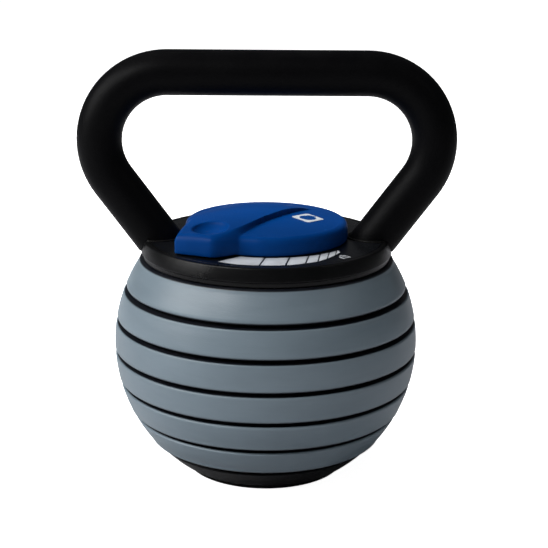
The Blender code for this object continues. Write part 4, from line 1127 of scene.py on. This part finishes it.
# %% [markdown]
# ### Grain
#
# Powder coat, enamel and moulded plastic all have a fine skin with a slightly uneven tone. The
# group layers three noises: the skin itself, a slow waviness, and blotches for the tone. The
# height feeds a Bump node, and the tone shifts colour and roughness a little.

# %% The grain group
grain_group, start, end = new_group(
    "coat_grain", {"Skin Size": 900.0, "Wave Size": 60.0, "Wave Share": 0.3}, ["Height", "Tone"])
skin = noise(grain_group, start["Place"], start["Skin Size"], 2.0)
wave = noise(grain_group, start["Place"], start["Wave Size"], 2.0)
blotch = noise(grain_group, start["Place"], 22.0, 4.0, 0.6)
wave = maths(grain_group, "MULTIPLY", wave, start["Wave Share"])
give(grain_group, end, "Height", maths(grain_group, "ADD", skin, wave))
give(grain_group, end, "Tone", spread(grain_group, blotch, 0.3, 0.7))

# %% [markdown]
# ### Rubbed edges, with a painted highlight
#
# Edges are where paint gets thin and plastic gets rubbed, and the lighter colour that is mixed
# in there is also a painted highlight, the light that edges catch. Pointiness tells how much a
# surface sticks out at a point. The group takes the part above a threshold and breaks it up with
# noise, so that the wear and the highlight come and go along the edge.

# %% The rubbed edge group, which also gives a painted highlight
wear_and_highlight_group, start, end = new_group(
    "rubbed_and_highlit_edges", {"Threshold": 0.53, "Softness": 0.05, "Break Up": 0.6}, ["Mask"])
sharpness = add(wear_and_highlight_group, "ShaderNodeNewGeometry").outputs["Pointiness"]
upper = maths(wear_and_highlight_group, "ADD", start["Threshold"], start["Softness"])
edge = spread(wear_and_highlight_group, sharpness, start["Threshold"], upper)
patchy = spread(wear_and_highlight_group, noise(wear_and_highlight_group, start["Place"], 90.0, 4.0, 0.65), 0.38, 0.62)
patchy = maths(wear_and_highlight_group, "MULTIPLY", patchy, start["Break Up"])
patchy = maths(wear_and_highlight_group, "ADD", patchy, maths(wear_and_highlight_group, "SUBTRACT", 1.0, start["Break Up"]))
give(wear_and_highlight_group, end, "Mask", maths(wear_and_highlight_group, "MULTIPLY", edge, patchy, True))

# %% [markdown]
# ### Dust
#
# Dust lies where a surface faces up, in a thin uneven film with some specks. The upward part of
# the normal gives the place, and two noises give the film and the specks.

# %% The dust group
dust_group, start, end = new_group("settled_dust", {"Film": 0.3, "Specks": 0.3}, ["Mask"])
normal = add(dust_group, "ShaderNodeNewGeometry").outputs["Normal"]
upward = add(dust_group, "ShaderNodeSeparateXYZ", {0: normal}).outputs["Z"]
facing = spread(dust_group, upward, 0.35, 0.95)
film = spread(dust_group, noise(dust_group, start["Place"], 45.0, 5.0, 0.6), 0.35, 0.75)
cells = add(dust_group, "ShaderNodeTexVoronoi", {"Vector": start["Place"], "Scale": 420.0})
specks = spread(dust_group, cells.outputs["Distance"], 0.10, 0.04)
specks = maths(dust_group, "MULTIPLY", specks, start["Specks"])
film = maths(dust_group, "MULTIPLY", film, start["Film"])
both = maths(dust_group, "MAXIMUM", film, specks)
give(dust_group, end, "Mask", maths(dust_group, "MULTIPLY", both, facing, True))

# %% [markdown]
# ### Fine scratches
#
# Handled metal and gloss plastic carry hairline scratches in a few directions. A noise that is
# stretched a lot along one direction makes thin streaks, and only its narrow middle band is
# kept. Two directions cross each other.

# %% The scratch group
scratch_group, start, end = new_group("hair_scratches", {"Size": 60.0, "Width": 0.012}, ["Mask"])
streaks = []
for turn, scale in ((0.5, (1.0, 14.0, 14.0)), (2.1, (12.0, 1.0, 12.0))):
    place = stretched(scratch_group, start["Place"], scale, (turn, turn * 0.4, turn))
    value = noise(scratch_group, place, start["Size"], 1.0)
    away = maths(scratch_group, "ABSOLUTE", maths(scratch_group, "SUBTRACT", value, 0.5))
    streaks.append(spread(scratch_group, away, start["Width"], 0.0))
patches = spread(scratch_group, noise(scratch_group, start["Place"], 35.0, 2.0), 0.5, 0.65)
crossed = maths(scratch_group, "MAXIMUM", *streaks)
give(scratch_group, end, "Mask", maths(scratch_group, "MULTIPLY", crossed, patches, True))

# %% [markdown]
# ## One recipe for the coated and moulded finishes
#
# Enamel, powder coat, plastics and rubber differ in their numbers more than in their make: a
# base tone that shifts a little, a grain, edges that are rubbed and carry a painted highlight,
# dust on top and scratches in the gloss. On the plates, painted shade darkens the grooves. The
# recipe below places the groups and joins them to one Principled shader. The numbers of each
# finish stand in their own cells, so each can be tuned alone.

# %% The shared recipe
# Near-black colour painted into the grooves between the plates: painted shade.
PAINTED_SHADE_BLACK = (0.0035, 0.005, 0.010)
DUST_GREY = (0.42, 0.41, 0.39)
finishes = {}


def new_finish(name):
    """An empty material; gives its tree and the place on the piece."""
    finish = bpy.data.materials.new(name)
    finish.use_nodes = True
    tree = finish.node_tree
    tree.nodes.clear()
    return finish, tree, add(tree, "ShaderNodeTexCoord").outputs["Object"]


def surface(tree, colour, rough, height=None, bump=0.0, **settings):
    """The Principled shader, joined to the output; names are sockets in lower case."""
    shader = add(tree, "ShaderNodeBsdfPrincipled", {"Base Color": colour, "Roughness": rough})
    if height:
        relief = {"Strength": 1.0, "Distance": bump, "Height": height}
        tree.links.new(add(tree, "ShaderNodeBump", relief).outputs[0], shader.inputs["Normal"])
    for name, value in settings.items():
        shader.inputs[name.replace("_", " ").title().replace("Ior", "IOR")].default_value = value
    add(tree, "ShaderNodeOutputMaterial", {"Surface": shader.outputs["BSDF"]})
    return shader


def use_group(tree, group, place, *values):
    """The group with its values, in the order of its sockets."""
    made = add(tree, "ShaderNodeGroup", {"Place": place}, node_tree=group)
    for socket, value in zip(made.inputs[1:], values):
        socket.default_value = value
    return made.outputs


def coated(name, tone, deep, wear_and_highlight_tone, grain, edges, dust, gloss, bump, specular,
           scratches=0.0, stretch=(1.0, 1.0, 1.0), painted_shade=False):
    """A painted or moulded finish. Colours are linear red, green and blue."""
    finish, tree, place = new_finish(name)
    skin = use_group(tree, grain_group, stretched(tree, place, stretch), *grain)
    worn_and_highlit = use_group(tree, wear_and_highlight_group, place, *edges)["Mask"]
    dusty = use_group(tree, dust_group, place, *dust)["Mask"]
    colour = blend_colours(tree, skin["Tone"], deep, tone)
    # Edges turn lighter: partly wear, partly a painted highlight on the edges.
    colour = blend_colours(tree, worn_and_highlit, colour, wear_and_highlight_tone)
    # Painted shade: the grooves between plates and the band under the housing are darkened in the colour.
    if painted_shade:
        groove_shade = add(tree, "ShaderNodeAttribute", attribute_name="painted_shade").outputs["Fac"]
        colour = blend_colours(tree, groove_shade, colour, PAINTED_SHADE_BLACK)
    colour = blend_colours(tree, dusty, colour, DUST_GREY)
    rough = spread(tree, skin["Tone"], 0.0, 1.0, *gloss)
    rough = maths(tree, "ADD", rough, maths(tree, "MULTIPLY", dusty, 0.35))
    height = skin["Height"]
    if scratches:
        hairs = use_group(tree, scratch_group, place)["Mask"]
        rough = maths(tree, "ADD", rough, maths(tree, "MULTIPLY", hairs, scratches))
        height = maths(tree, "SUBTRACT", height, maths(tree, "MULTIPLY", hairs, 0.4))
    rough = maths(tree, "MINIMUM", rough, 1.0)
    surface(tree, colour, rough, height, bump, specular_ior_level=specular)
    finishes[name] = finish
    print("made", name, "with", len(tree.nodes), "nodes")


# %% [markdown]
# ### Blue-grey enamel on the plates
#
# The plates are cast iron under a satin enamel. The casting is never quite even, so the light
# wanders a little on it, and the enamel is thinner and lighter on the edges, partly wear and
# partly a painted highlight. Painted shade darkens the grooves between the plates.

# %% Enamel
# grain: skin size, wave size, wave share; edges: threshold, softness, break up;
# dust: film, specks
coated("plate_enamel", tone=(0.202, 0.260, 0.302), deep=(0.168, 0.218, 0.255),
       wear_and_highlight_tone=(0.30, 0.37, 0.43), grain=(1300.0, 130.0, 1.6), edges=(0.53, 0.06, 0.45),
       dust=(0.03, 0.15), gloss=(0.36, 0.44), bump=0.00006, specular=0.5, scratches=0.12,
       stretch=(0.5, 0.5, 2.5), painted_shade=True)

# %% [markdown]
# ### Black powder coat on the handle
#
# Powder coat is sprayed dry and baked, and it keeps a fine pebbled skin that gives a grip. It
# is deep black with a soft broad sheen.

# %% Powder coat
coated("handle_coat", tone=(0.0022, 0.0022, 0.0026), deep=(0.0014, 0.0014, 0.0018),
       wear_and_highlight_tone=(0.012, 0.012, 0.013), grain=(1500.0, 300.0, 0.8), edges=(0.56, 0.1, 0.7),
       dust=(0.004, 0.02), gloss=(0.40, 0.50), bump=0.00010, specular=0.07)

# %% [markdown]
# ### Black mouldings, rubber and the film
#
# The housing and the base are moulded plastic with a spark-eroded skin, the rings, foot and
# beads are rubber, and the film is a smooth black print. They are all black, so what tells
# them apart is gloss and grain.

# %% Housing, base, rubber and film
coated("housing_coat", tone=(0.0038, 0.004, 0.0044), deep=(0.0026, 0.0026, 0.0029),
       wear_and_highlight_tone=(0.016, 0.016, 0.017), grain=(1600.0, 90.0, 0.6), edges=(0.54, 0.06, 0.5),
       dust=(0.008, 0.05), gloss=(0.26, 0.36), bump=0.00007, specular=0.22, scratches=0.1)
coated("black_plastic", tone=(0.0031, 0.0031, 0.0038), deep=(0.0021, 0.0021, 0.0025),
       wear_and_highlight_tone=(0.016, 0.016, 0.018), grain=(1400.0, 110.0, 0.7), edges=(0.54, 0.06, 0.5),
       dust=(0.01, 0.05), gloss=(0.34, 0.44), bump=0.00008, specular=0.11, scratches=0.15)
coated("black_rubber", tone=(0.004, 0.004, 0.0042), deep=(0.0025, 0.0025, 0.0027),
       wear_and_highlight_tone=(0.02, 0.02, 0.02), grain=(700.0, 160.0, 1.2), edges=(0.56, 0.1, 0.8),
       dust=(0.01, 0.05), gloss=(0.34, 0.50), bump=0.00008, specular=0.15)
coated("label_film", tone=(0.004, 0.0045, 0.006), deep=(0.0025, 0.003, 0.004),
       wear_and_highlight_tone=(0.03, 0.03, 0.035), grain=(800.0, 60.0, 0.8), edges=(0.54, 0.06, 0.5),
       dust=(0.006, 0.06), gloss=(0.24, 0.32), bump=0.00003, specular=0.3, scratches=0.15)

# %% Blue plastic of the dial
coated("dial_plastic", tone=(0.0003, 0.047, 0.222), deep=(0.0002, 0.039, 0.190),
       wear_and_highlight_tone=(0.002, 0.10, 0.36), grain=(1100.0, 70.0, 1.0), edges=(0.535, 0.05, 0.4),
       dust=(0.003, 0.02), gloss=(0.33, 0.42), bump=0.00005, specular=0.07, scratches=0.12)

# %% White print
coated("white_print", tone=(0.66, 0.69, 0.72), deep=(0.58, 0.61, 0.65),
       wear_and_highlight_tone=(0.45, 0.47, 0.50), grain=(900.0, 120.0, 0.5), edges=(0.56, 0.08, 0.6),
       dust=(0.06, 0.15), gloss=(0.34, 0.44), bump=0.00004, specular=0.5)

# %% [markdown]
# ## Bare metals
#
# Zinc-plated steel has faint crystals and a cool grey, ground steel has fine lines that run
# round the part, and bearing bronze is warm and a little stained. They only show when the
# handle is lifted, but a lifted handle shows all of them.

# %% The metal recipe


def bare_metal(name, light, dark, stain, size, stretch, gloss, bump=0.00003):
    """A metal with crystals or grinding lines, stains and scratches."""
    finish, tree, place = new_finish(name)
    along_grain = stretched(tree, place, stretch)
    cells = add(tree, "ShaderNodeTexVoronoi", {"Vector": along_grain, "Scale": size})
    crystal = add(tree, "ShaderNodeSeparateColor", {0: cells.outputs["Color"]}).outputs[0]
    lines = noise(tree, along_grain, size * 4.0, 3.0, 0.6)
    tone = maths(tree, "ADD", maths(tree, "MULTIPLY", crystal, 0.5),
                 maths(tree, "MULTIPLY", lines, 0.5))
    stained = spread(tree, noise(tree, place, 55.0, 5.0, 0.65), 0.52, 0.72)
    # The edges turn lighter: partly rubbed metal, partly a painted highlight.
    worn_and_highlit = use_group(tree, wear_and_highlight_group, place, 0.54, 0.08, 0.5)["Mask"]
    hairs = use_group(tree, scratch_group, place)["Mask"]
    worn_highlight = tuple(min(1.0, c * 1.25) for c in light)
    colour = blend_colours(tree, tone, dark, light)
    colour = blend_colours(tree, maths(tree, "MULTIPLY", stained, 0.5), colour, stain)
    colour = blend_colours(tree, maths(tree, "MULTIPLY", worn_and_highlit, 0.6), colour, worn_highlight)
    rough = spread(tree, tone, 0.2, 0.8, *gloss)
    rough = maths(tree, "ADD", rough, maths(tree, "MULTIPLY", stained, 0.12))
    rough = maths(tree, "ADD", rough, maths(tree, "MULTIPLY", hairs, 0.1), True)
    height = maths(tree, "SUBTRACT", lines, maths(tree, "MULTIPLY", hairs, 0.5))
    surface(tree, colour, rough, height, bump, metallic=1.0)
    finishes[name] = finish
    print("made", name, "with", len(tree.nodes), "nodes")


# %% Zinc, ground steel and bronze
bare_metal("zinc_steel", light=(0.56, 0.58, 0.60), dark=(0.40, 0.42, 0.45),
           stain=(0.30, 0.30, 0.28), size=160.0, stretch=(1.0, 1.0, 1.0), gloss=(0.30, 0.42))
bare_metal("ground_steel", light=(0.62, 0.61, 0.60), dark=(0.46, 0.45, 0.45),
           stain=(0.26, 0.24, 0.21), size=90.0, stretch=(1.0, 1.0, 16.0), gloss=(0.20, 0.34))
bare_metal("bearing_bronze", light=(0.66, 0.44, 0.20), dark=(0.50, 0.32, 0.13),
           stain=(0.20, 0.13, 0.06), size=140.0, stretch=(1.0, 1.0, 5.0), gloss=(0.24, 0.38))

# %% [markdown]
# ## Dress every piece
#
# A new piece wears the finish of its slot, except that the print on the film and the dial's
# tile are white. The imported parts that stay, such as the core, the cams and the screws,
# already name their slot, so the same table of finishes dresses them.

# %% Put the finishes on
print_pieces = [*scale_blocks, *lock_lines, tile]
for piece, slot in built:
    piece.data.materials.clear()
    piece.data.materials.append(finishes["white_print" if piece in print_pieces else slot])
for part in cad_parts.values():
    for place in part.material_slots:
        place.material = finishes[place.material.name.split(".")[0]]
print("dressed", len(built), "new pieces and", len(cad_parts), "packed parts")

# %% [markdown]
# ## Floor, light and camera
#
# The kettlebell stands on a plain pale floor in soft studio light. One large lamp at the upper
# left gives the broad sheen on the plates, and a small hard one next to it the highlight. A
# weak one at the right keeps the dark side readable. Two wide lamps, in front and over the
# back, fill in without showing in the gloss. The sky and the floor that the camera sees are
# plain white.

# %% Lay the floor
FLOOR_REACH = 6.0  # metres
FLOOR_STEPS = 12


def lay_floor():
    ticks = np.linspace(-FLOOR_REACH, FLOOR_REACH, FLOOR_STEPS) / MM
    points = [(x, y, 0.0) for y in ticks for x in ticks]
    corners = (0, 1, FLOOR_STEPS + 1, FLOOR_STEPS)
    faces = [tuple(row * FLOOR_STEPS + column + c for c in corners)
             for row in range(FLOOR_STEPS - 1) for column in range(FLOOR_STEPS - 1)]
    floor = mesh_piece("studio_floor", points, faces)
    paper, tree, place = new_finish("pale_floor")
    tone = spread(tree, noise(tree, place, 3.0, 2.0), 0.3, 0.7)
    white = blend_colours(tree, tone, (0.88, 0.88, 0.88), (0.90, 0.90, 0.90))
    seen_by_camera = add(tree, "ShaderNodeLightPath").outputs["Is Camera Ray"]
    colour = blend_colours(tree, seen_by_camera, (0.50, 0.50, 0.52), white)
    shader = surface(tree, colour, 0.9, specular_ior_level=0.1, emission_color=(1, 1, 1, 1))
    glow = maths(tree, "MULTIPLY", seen_by_camera, 0.95)
    tree.links.new(glow, shader.inputs["Emission Strength"])
    floor.data.materials.append(paper)
    return floor


floor = lay_floor()
print(floor.name, "is", 2 * FLOOR_REACH, "metres wide")

# %% Hang the lamps
middle = Vector((0.0, 0.0, BALL_Z * MM))
LAMPS = {  # place and size in metres, power in watts, and whether it shows in gloss
    "key_lamp": ((-1.75, -0.45, 1.15), 1.3, 29.0, True),
    "spot_lamp": ((-0.95, -1.00, 1.50), 0.22, 10.0, True),
    "glow_lamp": ((1.46, -0.60, 1.30), 0.35, 0.9, True),
    "fill_lamp": ((0.2, -2.0, 0.9), 2.0, 3.6, False),
    "over_lamp": ((-0.3, 0.9, 1.7), 1.0, 34.0, False),
}
for name, (place, size, power, in_gloss) in LAMPS.items():
    data = bpy.data.lights.new(name, "AREA")
    data.shape, data.size, data.energy = "SQUARE", size, power
    light = place_object(name, data)
    light.location = place
    light.rotation_euler = (middle - Vector(place)).to_track_quat("-Z", "Y").to_euler()
    light.visible_glossy = in_gloss
    print(name, "shines with", power, "watts")

# %% Paint the sky
world = bpy.data.worlds.new("pale_sky")
bpy.context.scene.world = world
world.use_nodes = True
sky = world.node_tree
sky.nodes.clear()
fill = add(sky, "ShaderNodeBackground", {"Color": (0.93, 0.96, 1.0, 1), "Strength": 0.06})
seen = add(sky, "ShaderNodeBackground", {"Color": (1, 1, 1, 1), "Strength": 1.05})
to_camera = add(sky, "ShaderNodeLightPath").outputs["Is Camera Ray"]
mix = add(sky, "ShaderNodeMixShader", {0: to_camera, 1: fill.outputs[0], 2: seen.outputs[0]})
add(sky, "ShaderNodeOutputWorld", {"Surface": mix.outputs[0]})
bpy.context.scene.view_settings.view_transform = "Standard"
print("the sky has", len(sky.nodes), "nodes")

# %% [markdown]
# ### Camera
#
# The camera looks slightly down at the front. Its place is given by an elevation and a small
# turn round the ball's middle, and its aim by a pitch, a yaw and a roll, so each number means
# one thing.

# %% Place the camera
DISTANCE = 1.0  # metres from the ball's middle
AROUND_LEFT = math.radians(1.0)
ELEVATION = math.radians(18.013)
PITCH = math.radians(15.559)
YAW = math.radians(0.308)
ROLL = math.radians(0.55)
SENSOR, FOCAL = 36.0, 98.1854  # millimetres

spot = Vector((0.0, -math.cos(ELEVATION), math.sin(ELEVATION))) * DISTANCE
flat = math.cos(PITCH)
ahead = Vector((math.sin(YAW) * flat, math.cos(YAW) * flat, -math.sin(PITCH)))
level = ahead.cross(Vector((0, 0, 1))).normalized()
over = level.cross(ahead)
right = level * math.cos(ROLL) + over * math.sin(ROLL)
up = over * math.cos(ROLL) - level * math.sin(ROLL)
axes = Matrix((right, up, -ahead)).transposed()
walk = Matrix.Rotation(-AROUND_LEFT, 3, "Z")
data = bpy.data.cameras.new("camera")
data.sensor_width, data.lens, data.clip_start, data.clip_end = SENSOR, FOCAL, 0.01, 50.0
camera = place_object("camera", data)
camera.matrix_world = Matrix.Translation(walk @ spot + middle) @ (walk @ axes).to_4x4()
bpy.context.scene.camera = camera
print("camera at", [round(x, 3) for x in camera.location], "lens", round(FOCAL, 1), "mm")
